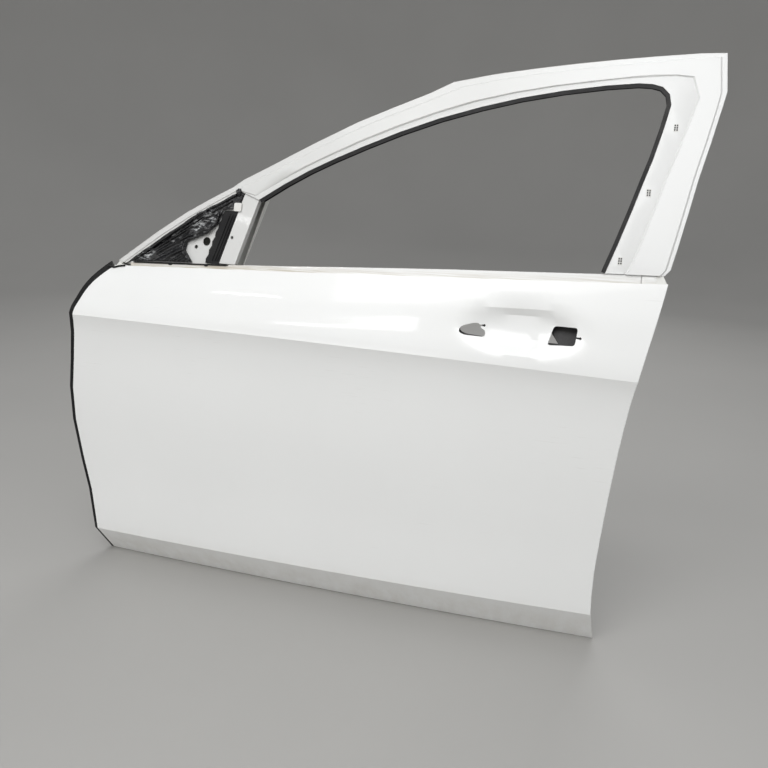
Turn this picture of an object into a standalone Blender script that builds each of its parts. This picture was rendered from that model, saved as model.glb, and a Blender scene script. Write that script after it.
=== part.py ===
"""Front left car door shell: painted skin and frame pressings, with the steel and rubber inside.

Sheet pieces are modelled in a flat design space first: x runs to the rear, z up, and depth d counts
from the outer surface into the door. They get their thickness there, and are then laid onto the
curved body, so pieces that fit together in the flat still fit on the curve.
The part's frame: +X to the rear, -Y outboard, +Z up, origin on the upper hinge pad.
"""
import math

import bmesh
import bpy
from mathutils import Vector
from mathutils.geometry import delaunay_2d_cdt

# Overall sizes
DOOR_LENGTH = 1.020
BODY_HEIGHT = 0.6215
BELT_RISE = 0.041
FRAME_HEIGHT = 0.360
FRAME_LENGTH = 1.060
FRONT_BULGE = 0.0435
REAR_SWEEP = 0.048

# Outer surface: the creases, and how far each line stands outboard of the bottom edge
LOWER_CREASE_HEIGHT = 0.061
LOWER_CREASE_RISE = 0.009
LOWER_CREASE_OUT = 0.040
CREASE_FALL = 0.0945
CREASE_DROP = 0.016
CREASE_OUT = 0.067
BELT_OUT = 0.026
CROWN = 0.010
FRAME_LEAN = math.radians(21.0)
FRAME_BULGE = 0.010

# Handle bowl and its two cut-outs
BOWL_FROM_REAR = 0.172
BOWL_FALL = 0.0465
BOWL_LENGTH = 0.234
BOWL_HEIGHT = 0.086
BOWL_DEPTH = 0.016
BOWL_RIM_SHARE = 0.62
LEFT_CUT_WIDTH = 0.045
LEFT_CUT_HEIGHT = 0.022
LEFT_CUT_FROM_REAR = 0.255
LEFT_CUT_FALL = 0.0525
RIGHT_CUT_WIDTH = 0.047
RIGHT_CUT_HEIGHT = 0.032
RIGHT_CUT_FROM_REAR = 0.106
RIGHT_CUT_FALL = 0.0515
CUT_CORNER = 0.005
KEYHOLE_RADIUS = 0.0022
KEYHOLE_REACH = 0.009

# Sheets, hems and clearances
SKIN_T = 0.0009
PANEL_T = 0.0008
RAIL_T = 0.0010
GAP = 0.0003
FOLD_RADIUS = 0.0008
HEM_WIDTH = 0.011
FLANGE_INSET = 0.002
FLANGE_D = SKIN_T + GAP
HEM_D = FLANGE_D + PANEL_T + GAP + SKIN_T
OVERRUN = 0.004

# Inner panel
TRAY_D = 0.090
TRAY_FOOT = 0.005
HINGE_FACE_X = 0.015
BOTTOM_WALL_Z = 0.030
REAR_WALL_INSET = 0.029
FRAME_WALL_INSET = 0.013
STRIP_WALL_INSET = 0.008
INNER_BOTTOM_Y = 0.045
INNER_BELT_Y = 0.022
INNER_LEAN = math.radians(20.0)
WINDOW_LIP_DEPTH = 0.025
SILL_LIP_DEPTH = 0.004
SILL_RISE = 0.003
SEAL_LAND = 0.012
SEAL_LAND_DEPTH = 0.004
SEAL_LAND_SLOPE = 0.004
SPEAKER_X = 0.150
SPEAKER_Z = 0.150
SPEAKER_RADIUS = 0.068
OPENING_CORNER = 0.032
ACCESS_WIDTH = 0.046
ACCESS_HEIGHT = 0.038
ACCESS_CORNER = 0.012
CLIP_HOLE_RADIUS = 0.004
WIRING_RADIUS = 0.016
WIRING_Z = 0.385
DRAIN_LENGTH = 0.020
DRAIN_WIDTH = 0.007
BEAD_WIDTH = 0.018
BEAD_RISE = 0.004
BEAD_SLOPE = 0.004

# Window frame, outer pressing
FRAME_STEP = 0.003
FRAME_FIELD = 0.0015
STEP_RUN = 0.003
FRAME_LIP = 0.030
LIP_OFFSET = SKIN_T + GAP + PANEL_T
STRIP_WIDTH = 0.0145
CLIP_SLOT_LENGTH = 0.011
CLIP_SLOT_WIDTH = 0.005

# Waist rails
STRIP_RISE_FRONT = 0.008
STRIP_RISE_REAR = 0.013
RAIL_DROP = 0.032
RAIL_HAT = 0.011
RAIL_FLANGE = 0.008
RAIL_SLOPE = 0.003
RAIL_FRONT_X = 0.092
RAIL_PAST_REAR = 0.006
INNER_RAIL_DROP = 0.046
INNER_RAIL_HAT = 0.011
INNER_RAIL_FRONT_X = 0.112
INNER_RAIL_FROM_REAR = 0.020

# Mirror triangle and division post
PLATE_D = 0.0052
PLATE_T = 0.0015
FOAM_D = 0.0006
MIRROR_HOLE_RADIUS = 0.008
MIRROR_SCREW_RADIUS = 0.0035
POST_HOLE_RADIUS = 0.003
CLIP_SIZE = 0.015
CLIP_T = 0.0025
SEAT = 0.0005
TOOTH = 0.0025
TEETH = 6
DIVISION_D = 0.0012
DIVISION_DEPTH = 0.015

# Seals
RUN_WIDTH = 0.0066
RUN_WALL = 0.003
RUN_DEPTH = 0.016
RUN_PROUD = 0.0005
EDGE_LIP_TOP = 0.0120
EDGE_LIP_BOTTOM = 0.0075
EDGE_FOOT = 0.010
EDGE_BACK_D = 0.0068
EDGE_FRONT_D = 0.0012

# Beam, guides and plates inside
BEAM_RADIUS = 0.016
BEAM_WALL = 0.0025
BEAM_Y = -0.0165
BEAM_FRONT_X = 0.038
BEAM_FROM_REAR = 0.065
BEAM_FRONT_Z = 0.305
BEAM_REAR_Z = 0.215
BRACKET_T = 0.002
BRACKET_REACH = 0.070
BRACKET_HEIGHT = 0.078
MASTIC_LENGTH = 0.045
MASTIC_HEIGHT = 0.020
PAD_LENGTH = 0.300
PAD_T = 0.0020
PAD_X = 0.300
GUIDE_WIDTH = 0.014
GUIDE_DEPTH = 0.013
GUIDE_T = 0.0014
GUIDE_TOP_Y = 0.0005
GUIDE_FOOT_Y = 0.010
GUIDE_TOP_DROP = 0.052
GUIDE_FOOT_Z = 0.220
GUIDE_FOOT_HEIGHT = 0.024
FRONT_GUIDE_X = 0.290
FRONT_GUIDE_FOOT_X = 0.235
REAR_GUIDE_FROM_REAR = 0.062
REAR_GUIDE_FOOT_FROM_REAR = 0.102
HINGE_Y = -0.002
HINGE_PLATE_T = 0.002
HINGE_PLATE_WIDTH = 0.044
HINGE_PLATE_FLANGE = 0.012
HINGE_PLATE_LOW = 0.115
HINGE_PLATE_HIGH = 0.525
UPPER_HINGE_Z = 0.462
LOWER_HINGE_Z = 0.165
CHECK_Z = 0.233
CHECK_LENGTH = 0.026
CHECK_WIDTH = 0.014
CHECK_PLATE_HEIGHT = 0.046
CHECK_PLATE_T = 0.003
NUT_PLATE_HEIGHT = 0.066
NUT_PLATE_WIDTH = 0.036
NUT_PLATE_T = 0.006
HINGE_BOLT_SPACING = 0.040
HINGE_BOLT_RADIUS = 0.0045
BOLT_CLEARANCE = 0.0012
LATCH_Y = -0.010
LATCH_LOW = 0.375
LATCH_HIGH = 0.480
LATCH_PLATE_T = 0.0015
LATCH_PLATE_WIDTH = 0.050
LATCH_SLOT_HEIGHT = 0.042
LATCH_SLOT_WIDTH = 0.020
LATCH_SCREW_SPACING = 0.064
LATCH_SCREW_RADIUS = 0.0035
CARRIER_T = 0.0025
CARRIER_GAP = 0.0005
CARRIER_LENGTH = 0.218
CARRIER_HEIGHT = 0.044
CARRIER_CORNER = 0.016
POCKET_DEPTH = 0.014
PLUG_RADIUS = 0.011
PLUG_FLANGE = 0.0035
PLUG_T = 0.0018
HOLE_SIDES = 12
SAME_PLACE = 1e-6

# Places that follow from the sizes above
BOWL_X = DOOR_LENGTH - BOWL_FROM_REAR
BOWL_Z = BODY_HEIGHT - BOWL_FALL
LEFT_CUT_X = DOOR_LENGTH - LEFT_CUT_FROM_REAR
LEFT_CUT_Z = BODY_HEIGHT - LEFT_CUT_FALL
RIGHT_CUT_X = DOOR_LENGTH - RIGHT_CUT_FROM_REAR
RIGHT_CUT_Z = BODY_HEIGHT - RIGHT_CUT_FALL
RAIL_REAR_X = DOOR_LENGTH + RAIL_PAST_REAR
INNER_RAIL_REAR_X = DOOR_LENGTH - INNER_RAIL_FROM_REAR
BEAM_REAR_X = DOOR_LENGTH - BEAM_FROM_REAR
REAR_GUIDE_X = DOOR_LENGTH - REAR_GUIDE_FROM_REAR
REAR_GUIDE_FOOT_X = DOOR_LENGTH - REAR_GUIDE_FOOT_FROM_REAR

# Shares that shape the section, the edges and the frame
GASKET_WIDTH_SHARE = 0.0264
DIVISION_WIDTH_SHARE = 0.0311
DIVISION_SLANT_SHARE = 0.033
STRIP_GROWS_SHARES = (0.333, 0.667)
KEYHOLE_NECK_SHARE = 0.6
LEFT_KEYHOLE_SHARES = (0.22, 0.32)
RIGHT_KEYHOLE_SHARE = 0.42
STEP_LIMIT_SHARE = 0.1
RUN_START_SHARE = 0.04
EDGE_SEAL_START_SHARE = 0.3
PLUG_TAPER_SHARE = 0.8
SIDE_SHARES = ((0.08, 0.04), (0.19, 0.02), (0.34, 0.11), (0.52, 0.31), (0.67, 0.46), (0.80, 0.52),
               (0.915, 0.66), (0.97, 0.84))
SHOULDER_SHARES = ((0.06, 0.03), (0.13, 0.085), (0.22, 0.17), (0.31, 0.26), (0.40, 0.35), (0.49, 0.435),
                   (0.58, 0.525), (0.67, 0.62), (0.77, 0.735), (0.88, 0.86))
FRONT_EDGE_SHARES = ((0, 0.07), (0.08, 0.27), (0.16, 0.355), (0.24, 0.48), (0.32, 0.69), (0.43, 0.92),
                     (0.55, 1), (0.645, 0.86), (0.758, 0.62), (0.855, 0.41), (0.889, 0.20),
                     (0.921, -0.04), (0.952, -0.39), (0.985, -0.94), (1, -1.33))
REAR_EDGE_SHARES = ((0, 0), (0.113, -0.19), (0.226, -0.24), (0.377, -0.135), (0.528, 0.01), (0.679, 0.22),
                    (0.785, 0.45), (0.906, 0.77), (1, 1))
COLUMN_SHARES = (0, 0.03, 0.10, 0.18, 0.26, 0.34, 0.42, 0.50, 0.58, 0.65, 0.695, 0.712, 0.729, 0.746,
                 0.763, 0.78, 0.797, 0.814, 0.831, 0.848, 0.865, 0.882, 0.899, 0.916, 0.94, 0.97, 1)
ROOF_OUTER_SHARES = ((0.061, 0.026), (0.136, 0.179), (0.190, 0.279), (0.235, 0.349), (0.2736, 0.405),
                     (0.2935, 0.444), (0.340, 0.510), (0.380, 0.569), (0.422, 0.630), (0.4865, 0.719),
                     (0.545, 0.786), (0.604, 0.851), (0.641, 0.901), (0.707, 0.932), (0.768, 0.951),
                     (0.830, 0.967), (0.895, 0.980), (0.955, 0.989), (1.018, 0.996), (1.0555, 0.994))
POST_OUTER_SHARES = ((1.0605, 0.824), (1.056, 0.756), (1.045, 0.602), (1.0335, 0.454), (1.024, 0.299),
                     (1.0138, 0.140), (1.008, 0.060), (1.0010, 0.036))
STRIP_START_SHARES = ((0.0785, 0.014),)
STRIP_END_SHARES = ((0.290, 0.388),)
WINDOW_ROOF_SHARES = ((0.3275, 0.345), (0.372, 0.424), (0.413, 0.488), (0.455, 0.544), (0.505, 0.605),
                      (0.563, 0.670), (0.627, 0.731), (0.692, 0.780), (0.755, 0.818), (0.820, 0.846),
                      (0.885, 0.864), (0.932, 0.870))
WINDOW_CORNER_SHARES = ((0.9525, 0.865), (0.968, 0.851), (0.979, 0.818), (0.9828, 0.770))
WINDOW_POST_SHARES = ((0.976, 0.665), (0.966, 0.540), (0.956, 0.440), (0.943, 0.305), (0.928, 0.160),
                      (0.9175, 0.066), (0.9146, 0.040))
STRIP_STATIONS = 4
FLANGE_SHARES = ((0, 0.50), (4, 0.50), (5, 0.24), (16, 0.20), (19, 0.09), (27, 0.05))
GROOVE_SHARES = ((0, 0.80), (15, 0.80), (17, 0.74), (19, 0.60), (20, 0.52), (23, 0.62), (27, 0.67))
FLANGE_MIDDLE_SHARE = 0.8
GROOVE_DEPTH_SHARES = ((0, 0), (5, 0), (6, 1), (27, 1))
FRAME_LIP_SHARES = ((0, 0.2), (4, 0.2), (5, 1), (27, 1))
CLIP_SLOT_SHARES = ((0.9931, 0.6685), (0.9643, 0.3895), (0.9343, 0.0945))
FOAM_TEAR_SHARES = ((0.2887, 0.3006), (0.2604, 0.2928), (0.2524, 0.2194), (0.2311, 0.1686), (0.1968, 0.1297),
                    (0.1948, 0.0861), (0.2109, 0.028), (0.1415, 0.028))
PLATE_HOLE_SHARES = (0.2337, 0.1340)
PLATE_SCREW_SHARES = (0.2142, 0.1055)
POST_HOLE_SHARES = (0.2841, 0.1570)
CLIP_PLACE_SHARES = (0.2891, 0.3085)
LEFT_CUT_SHARES = ((-1, -0.4), (-0.55, -0.8), (1, -1), (0.96, 0), (0.62, 0.15), (0.5, 1), (0.05, 1),
                   (-0.85, 0.45))
RIGHT_CUT_SHARES = ((-1, -1), (0.9, -0.8), (1, 1), (-0.65, 0.9))
POCKET_SHARES = ((-1.1, -1.15), (1.05, -1.1), (1.12, 1.12), (-1.1, 1.12))
POCKET_VIEW_SHARES = ((-1, -1.05), (-0.28, -1.05), (-0.92, 0.15))
SERVICE_SHARES = ((0.328, 0.266), (0.848, 0.241), (0.917, 0.772), (0.887, 0.920), (0.422, 0.901),
                  (0.353, 0.829))
ACCESS_SHARES = ((0.922, 0.205), (0.966, 0.940), (0.085, 0.875))
CLIP_HOLE_SHARES = ((0.045, 0.10), (0.26, 0.08), (0.50, 0.09), (0.74, 0.08), (0.95, 0.09), (0.055, 0.48),
                    (0.27, 0.62), (0.952, 0.68), (0.07, 0.70), (0.19, 0.86), (0.28, 0.36))
DRAIN_SHARES = (0.14, 0.50, 0.86)
MASTIC_SHARES = (0.18, 0.50, 0.80)
PLUG_SHARES = {"front": (0.088, 0.555), "rear": (0.940, 0.545)}
PAD_ROWS = (1, 2, 3)
BEAD_SHARES = ((0.588, 0.168, 0.47), (0.20, 0.75, 0.165))
DIVISION_WIDTH = DIVISION_WIDTH_SHARE * FRAME_LENGTH
GASKET_WIDTH = GASKET_WIDTH_SHARE * FRAME_LENGTH


def clamp(value, low, high):
    return max(low, min(high, value))


def lerp(a, b, share):
    return a + (b - a) * share


def smoothstep(share):
    share = clamp(share, 0, 1)
    return share * share * (3 - 2 * share)


def interpolate(table, at):
    """Straight-line reading of a table of (position, value) pairs."""
    for (a, value_a), (b, value_b) in zip(table, table[1:]):
        if at <= b:
            return lerp(value_a, value_b, clamp((at - a) / (b - a), 0, 1))
    return table[-1][1]


# The body surface

def belt_top(x):
    """Height of the skin's top edge."""
    return BODY_HEIGHT + BELT_RISE * x / DOOR_LENGTH


def strip_top(x):
    """Height of the upright flange that shows above the skin."""
    start, end = STRIP_GROWS_SHARES
    grown = clamp((x / DOOR_LENGTH - start) / (end - start), 0, 1)
    return belt_top(x) + lerp(STRIP_RISE_FRONT, STRIP_RISE_REAR, grown)


def crown(x):
    middle = DOOR_LENGTH / 2
    return CROWN * ((x - middle) / middle) ** 2


def section(x):
    """The skin's (z, y) rows at x, bottom edge first."""
    low = LOWER_CREASE_HEIGHT + LOWER_CREASE_RISE * x / DOOR_LENGTH
    high = BODY_HEIGHT - CREASE_FALL - CREASE_DROP * (x / DOOR_LENGTH) ** 2
    top = belt_top(x)
    rows = [(0, 0), (low, -LOWER_CREASE_OUT)]
    rows += [(lerp(low, high, up), -lerp(LOWER_CREASE_OUT, CREASE_OUT, out)) for up, out in SIDE_SHARES]
    rows += [(high, -CREASE_OUT)]
    rows += [(lerp(high, top, up), -lerp(CREASE_OUT, BELT_OUT, fall)) for up, fall in SHOULDER_SHARES]
    return rows + [(top, -BELT_OUT)]


def bowl(x, z):
    """Depth of the handle bowl at a place on the skin."""
    reach = math.hypot((x - BOWL_X) / (BOWL_LENGTH / 2), (z - BOWL_Z) / (BOWL_HEIGHT / 2))
    return BOWL_DEPTH * smoothstep((1 - reach) / BOWL_RIM_SHARE)


def outer_y(x, z):
    """The door's outer surface: skin up to its top edge, leaning frame above it."""
    above = z - belt_top(x)
    if above <= 0:
        return interpolate(section(x), z) + crown(x) + bowl(x, z)
    share = above / FRAME_HEIGHT
    return -BELT_OUT + crown(x) + math.tan(FRAME_LEAN) * above - 4 * FRAME_BULGE * share * (1 - share)


def inner_y(x, z):
    """The inner panel's face: one plane below the belt, and one that leans with the frame."""
    above = max(z - belt_top(x), 0)
    return lerp(INNER_BOTTOM_Y, INNER_BELT_Y, (z - above) / BODY_HEIGHT) + math.tan(INNER_LEAN) * above


def on_body(x, d, z):
    return Vector((x, outer_y(x, z) + d, z))


def on_tray(x, d, z):
    """Flanges lie on the outer surface, the pressed face on its own planes."""
    share = clamp((d - HEM_D) / (TRAY_D - TRAY_FOOT * 2 - HEM_D), 0, 1)
    return Vector((x, lerp(outer_y(x, z) + d, inner_y(x, z) + d - TRAY_D, share), z))


# The door's edges, as lists of (x, z)

def smooth(points, steps):
    """A curve through the points, each stretch in the given number of steps."""
    ends = [points[0]] + list(points) + [points[-1]]
    path = []
    for p, q, r, s in zip(ends, ends[1:], ends[2:], ends[3:]):
        for step in range(steps):
            t = step / steps
            path.append(tuple(0.5 * (2 * b + (c - a) * t + (2 * a - 5 * b + 4 * c - d) * t * t
                                     + (3 * b - a - 3 * c + d) * t ** 3)
                              for a, b, c, d in zip(p, q, r, s)))
    return path + [tuple(points[-1])]


FRONT_TABLE = smooth(FRONT_EDGE_SHARES, 4)
REAR_TABLE = smooth(REAR_EDGE_SHARES, 4)


def front_x(z):
    return -FRONT_BULGE * interpolate(FRONT_TABLE, z / BODY_HEIGHT)


def rear_x(z):
    return DOOR_LENGTH + REAR_SWEEP * interpolate(REAR_TABLE, z / (BODY_HEIGHT + BELT_RISE))


def edge_point(row, edge_x):
    """Where a row of the section meets the front or rear edge."""
    z = section(0)[row][0]
    for _ in range(8):
        z = section(edge_x(z))[row][0]
    return (edge_x(z), z)


ROWS = len(section(0))
FRONT_EDGE = [edge_point(row, front_x) for row in range(ROWS)]
REAR_EDGE = [edge_point(row, rear_x) for row in range(ROWS)]


def skin_point(row, share):
    x = lerp(FRONT_EDGE[row][0], REAR_EDGE[row][0], share)
    return (x, section(x)[row][0])


def frame_points(shares):
    """Window frame points: x as a share of the frame's length, z of its height above the belt."""
    places = [(along * FRAME_LENGTH, up * FRAME_HEIGHT) for along, up in shares]
    return [(x, belt_top(x) + above) for x, above in places]


ROOF_OUTER = frame_points(ROOF_OUTER_SHARES)
POST_OUTER = frame_points(POST_OUTER_SHARES)
WINDOW_ROOF = frame_points(WINDOW_ROOF_SHARES)
WINDOW_CORNER = frame_points(WINDOW_CORNER_SHARES)
WINDOW_POST = frame_points(WINDOW_POST_SHARES)
WINDOW_EDGE = WINDOW_ROOF + WINDOW_CORNER + WINDOW_POST
BOTTOM_EDGE = [skin_point(0, share) for share in COLUMN_SHARES]
HEM_PATH = FRONT_EDGE[::-1] + BOTTOM_EDGE[1:] + REAR_EDGE[1:]
FRAME_PATH = POST_OUTER[::-1] + ROOF_OUTER[::-1]


def body_point(shares):
    """A place on the lower body, as shares of its length and height."""
    return (shares[0] * DOOR_LENGTH, shares[1] * BODY_HEIGHT)


def turned(path, closed):
    """Unit directions across the path, to its left, with the length that keeps a mitre true."""
    count = len(path)
    across = []
    for i, point in enumerate(path):
        before = path[i - 1] if closed or i else point
        after = path[(i + 1) % count] if closed or i < count - 1 else point
        sides = [(Vector(b) - Vector(a)).normalized() for a, b in ((before, point), (point, after)) if a != b]
        mean = sum(sides, Vector((0, 0))).normalized()
        across.append(Vector((-mean.y, mean.x)) / max(mean.dot(sides[0]), 0.5))
    return across


def offset(path, distance, closed=False):
    """The path moved to its left by a distance, or by one distance for each point."""
    distances = distance if isinstance(distance, list) else [distance] * len(path)
    return [tuple(Vector(p) + n * far) for p, n, far in zip(path, turned(path, closed), distances)]


def circle(x, z, radius, sides=HOLE_SIDES):
    turns = [2 * math.pi * (i + 0.5) / sides for i in range(sides)]
    return [(x + radius * math.cos(turn), z + radius * math.sin(turn)) for turn in turns]


def rounded(corners, radius, steps=3):
    """A closed outline with its corners rounded."""
    outline = []
    for i, corner in enumerate(corners):
        here, before, after = (Vector(p) for p in (corner, corners[i - 1], corners[(i + 1) % len(corners)]))
        start = here + (before - here).normalized() * min(radius, (before - here).length / 2.2)
        end = here + (after - here).normalized() * min(radius, (after - here).length / 2.2)
        for step in range(steps + 1):
            t = step / steps
            outline.append(tuple(start * (1 - t) ** 2 + here * 2 * t * (1 - t) + end * t ** 2))
    return outline


def box_outline(x, z, width, height, corner):
    half_x, half_z = width / 2, height / 2
    sides = ((-1, -1), (1, -1), (1, 1), (-1, 1))
    return rounded([(x + side * half_x, z + end * half_z) for side, end in sides], corner)


# Meshes and objects

HINGE_PAD = Vector((HINGE_FACE_X, HINGE_Y, UPPER_HINGE_Z))


def material(name, colour, roughness, metallic=0.0):
    made = bpy.data.materials.get(name)
    if made is None:
        made = bpy.data.materials.new(name)
        made.use_nodes = True
        shader = made.node_tree.nodes["Principled BSDF"]
        shader.inputs["Base Color"].default_value = (*colour, 1)
        shader.inputs["Roughness"].default_value = roughness
        shader.inputs["Metallic"].default_value = metallic
    return made


def white_paint():
    return material("white_paint", (0.86, 0.87, 0.87), 0.22)


def inner_paint():
    return material("inner_white_paint", (0.80, 0.80, 0.77), 0.35)


def grey_steel():
    return material("primed_steel", (0.62, 0.62, 0.60), 0.45, 0.2)


def black_rubber():
    return material("black_rubber", (0.02, 0.02, 0.021), 0.75)


def black_plastic():
    return material("black_plastic", (0.03, 0.03, 0.032), 0.5)


def grey_mastic():
    return material("grey_mastic", (0.25, 0.25, 0.26), 0.85)


def finish(name, bm, look):
    """Puts a mesh into the scene, in the part's own frame."""
    bmesh.ops.translate(bm, vec=-HINGE_PAD, verts=bm.verts)
    mesh = bpy.data.meshes.new(name)
    bm.to_mesh(mesh)
    bm.free()
    mesh.shade_smooth()
    mesh.set_sharp_from_angle(angle=math.radians(30))
    mesh.materials.append(look)
    made = bpy.data.objects.new(name, mesh)
    bpy.context.collection.objects.link(made)
    return made


class Sheet:
    """A pressing in the flat design space, built as one surface that is given its thickness later."""

    def __init__(self):
        self.bm = bmesh.new()

    def face(self, corners):
        self.bm.faces.new([self.bm.verts.new((x, d, z)) for x, d, z in corners])

    def grid(self, rows, d=0.0):
        for low, high in zip(rows, rows[1:]):
            for (ax, az), (bx, bz), (cx, cz), (dx, dz) in zip(low, low[1:], high[1:], high):
                self.face([(ax, d, az), (bx, d, bz), (cx, d, cz), (dx, d, dz)])

    def band(self, path_a, d_a, path_b, d_b, closed=False):
        """Quads between two lines of equally many points, each line at one depth or a list of them."""
        count = len(path_a)
        d_a, d_b = (d if isinstance(d, list) else [d] * count for d in (d_a, d_b))
        for i in range(count if closed else count - 1):
            j = (i + 1) % count
            (ax, az), (bx, bz), (cx, cz), (dx, dz) = path_a[i], path_a[j], path_b[j], path_b[i]
            self.face([(ax, d_a[i], az), (bx, d_a[j], bz), (cx, d_b[j], cz), (dx, d_b[i], dz)])

    def fill(self, outline, d, holes=(), lands=(), lines=()):
        """A face inside an outline, less its holes. A land is an area set to a depth of its own."""
        loops = [outline, *holes, *[land for land, _ in lands]]
        points, edges = [], []
        for loop, closed in [(loop, True) for loop in loops] + [(line, False) for line in lines]:
            first = len(points)
            points += [Vector(p) for p in loop]
            edges += [(i, i + 1) for i in range(first, len(points) - 1)]
            edges += [(len(points) - 1, first)] if closed else []
        places, _, triangles, _, _, _ = delaunay_2d_cdt(points, edges, [], 0, SAME_PLACE / 10)
        for triangle in triangles:
            corners = [places[i] for i in triangle]
            middle = sum(corners, Vector((0, 0))) / 3
            covered = inside(middle, outline) and not any(inside(middle, hole) for hole in holes)
            if covered and not sliver(corners):
                self.face([(p.x, self.depth(p, d, lands), p.y) for p in corners])

    @staticmethod
    def depth(point, d, lands):
        for land, land_d in lands:
            if inside(point, land) or near(point, land):
                return land_d
        return d

    def solid(self, thickness, place):
        """Gives the surface its thickness, away from its outboard side, and lays it on the body."""
        bmesh.ops.remove_doubles(self.bm, verts=self.bm.verts, dist=SAME_PLACE)
        bmesh.ops.recalc_face_normals(self.bm, faces=self.bm.faces)
        flat = max(self.bm.faces, key=lambda face: face.calc_area() * abs(face.normal.y))
        if flat.normal.y > 0:
            bmesh.ops.reverse_faces(self.bm, faces=self.bm.faces)
        mesh = bpy.data.meshes.new("flat")
        self.bm.to_mesh(mesh)
        holder = bpy.data.objects.new("flat", mesh)
        bpy.context.collection.objects.link(holder)
        thick = holder.modifiers.new("thickness", "SOLIDIFY")
        thick.thickness = thickness
        thick.offset = -1
        thick.use_even_offset = True
        self.bm.clear()
        self.bm.from_object(holder, bpy.context.evaluated_depsgraph_get())
        bpy.data.objects.remove(holder)
        bpy.data.meshes.remove(mesh)
        bmesh.ops.triangulate(self.bm, faces=self.bm.faces)
        for vert in self.bm.verts:
            vert.co = place(*vert.co)
        return self.bm


def inside(point, outline):
    """True where a point lies within a closed outline."""
    x, z = point
    within = False
    for (ax, az), (bx, bz) in zip(outline, outline[1:] + outline[:1]):
        if (az > z) != (bz > z) and x < ax + (z - az) / (bz - az) * (bx - ax):
            within = not within
    return within


def sliver(corners):
    """True for the flat triangles that points in one line can leave."""
    a, b, c = corners
    longest = max((b - a).length, (c - b).length, (a - c).length)
    return abs((b - a).cross(c - a)) < longest * SAME_PLACE


def near(point, outline):
    return min((point - Vector(p)).length for p in outline) < SAME_PLACE


U_CAPS = ("0123", "0347", "4567")
L_CAPS = ("0125", "2345")
LIP_CAPS = ("0156", "12345")


def loft(sections, closed=False, caps=None):
    """A solid through closed sections of equally many points. The caps say how an end face is divided."""
    bm = bmesh.new()
    rings = [[bm.verts.new(p) for p in points] for points in sections]
    pairs = list(zip(rings, rings[1:])) + ([(rings[-1], rings[0])] if closed else [])
    for here, there in pairs:
        for i in range(len(here)):
            j = (i + 1) % len(here)
            bm.faces.new((here[i], here[j], there[j], there[i]))
    for cap in () if closed else caps or [range(len(rings[0]))]:
        corners = [int(i) for i in cap]
        bm.faces.new([rings[0][i] for i in corners][::-1])
        bm.faces.new([rings[-1][i] for i in corners])
    bmesh.ops.triangulate(bm, faces=bm.faces)
    bmesh.ops.recalc_face_normals(bm, faces=bm.faces)
    return bm


def plate(outline, low_y, high_y):
    """A flat plate: an outline in x and z, between two planes of y."""
    return loft([[Vector((x, y, z)) for x, z in outline] for y in (low_y, high_y)])


def cutter(name, bm):
    made = finish(name, bm, black_plastic())
    made.display_type = "WIRE"
    made.hide_render = True
    made.hide_viewport = True
    return made


def boolean(target, tool, operation="DIFFERENCE"):
    cut = target.modifiers.new(tool.name, "BOOLEAN")
    cut.operation = operation
    cut.solver = "EXACT"
    cut.object = tool


def along_x(outline, low_x, high_x):
    """A prism along x through an outline in y and z."""
    return loft([[Vector((x, y, z)) for y, z in outline] for x in (low_x, high_x)])


# Skin

def scaled(shares, x, z, width, height):
    """An outline round a centre, its points given as shares of the half width and half height."""
    return [(x + across_share * width / 2, z + up * height / 2) for across_share, up in shares]


def left_cut():
    outline = scaled(LEFT_CUT_SHARES, LEFT_CUT_X, LEFT_CUT_Z, LEFT_CUT_WIDTH, LEFT_CUT_HEIGHT)
    return rounded(outline, CUT_CORNER, 2)


def right_cut():
    outline = scaled(RIGHT_CUT_SHARES, RIGHT_CUT_X, RIGHT_CUT_Z, RIGHT_CUT_WIDTH, RIGHT_CUT_HEIGHT)
    return rounded(outline, CUT_CORNER)


def keyhole(x, z):
    """A round-ended slot that runs rearwards from x."""
    neck = KEYHOLE_RADIUS * KEYHOLE_NECK_SHARE
    turns = [math.radians(degrees) for degrees in range(-140, 141, 40)]
    bulb = [(x + KEYHOLE_REACH + KEYHOLE_RADIUS * math.cos(turn), z + KEYHOLE_RADIUS * math.sin(turn))
            for turn in turns]
    return [(x, z - neck)] + bulb + [(x, z + neck)]


def cut_handle_openings(skin):
    along, up = LEFT_KEYHOLE_SHARES
    left = (LEFT_CUT_X + LEFT_CUT_WIDTH * along, LEFT_CUT_Z + LEFT_CUT_HEIGHT * up)
    right = (RIGHT_CUT_X + RIGHT_CUT_WIDTH * RIGHT_KEYHOLE_SHARE, RIGHT_CUT_Z)
    outlines = {"left_cut": left_cut(), "right_cut": right_cut(), "left_keyhole": keyhole(*left),
                "right_keyhole": keyhole(*right)}
    for name, outline in outlines.items():
        boolean(skin, cutter(name, plate(outline, -CREASE_OUT, BELT_OUT)))


def outer_skin():
    sheet = Sheet()
    folded = offset(HEM_PATH, FOLD_RADIUS)
    front, rear = folded[ROWS - 1::-1], folded[-ROWS:]
    rows = [folded[ROWS - 1:1 - ROWS]]
    for row in range(1, ROWS):
        rows.append([front[row]] + [skin_point(row, share) for share in COLUMN_SHARES[1:-1]] + [rear[row]])
    sheet.grid(rows)
    sheet.band(folded, 0, HEM_PATH, FOLD_RADIUS)
    sheet.band(HEM_PATH, FOLD_RADIUS, HEM_PATH, HEM_D - FOLD_RADIUS)
    sheet.band(HEM_PATH, HEM_D - FOLD_RADIUS, folded, HEM_D)
    sheet.band(folded, HEM_D, offset(HEM_PATH, HEM_WIDTH), HEM_D)
    skin = finish("outer_skin", sheet.solid(SKIN_T, on_body), white_paint())
    cut_handle_openings(skin)


# Inner panel

def perimeter():
    """The whole door's outline, down the front, along the bottom and back over the frame."""
    return HEM_PATH + FRAME_PATH


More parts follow.
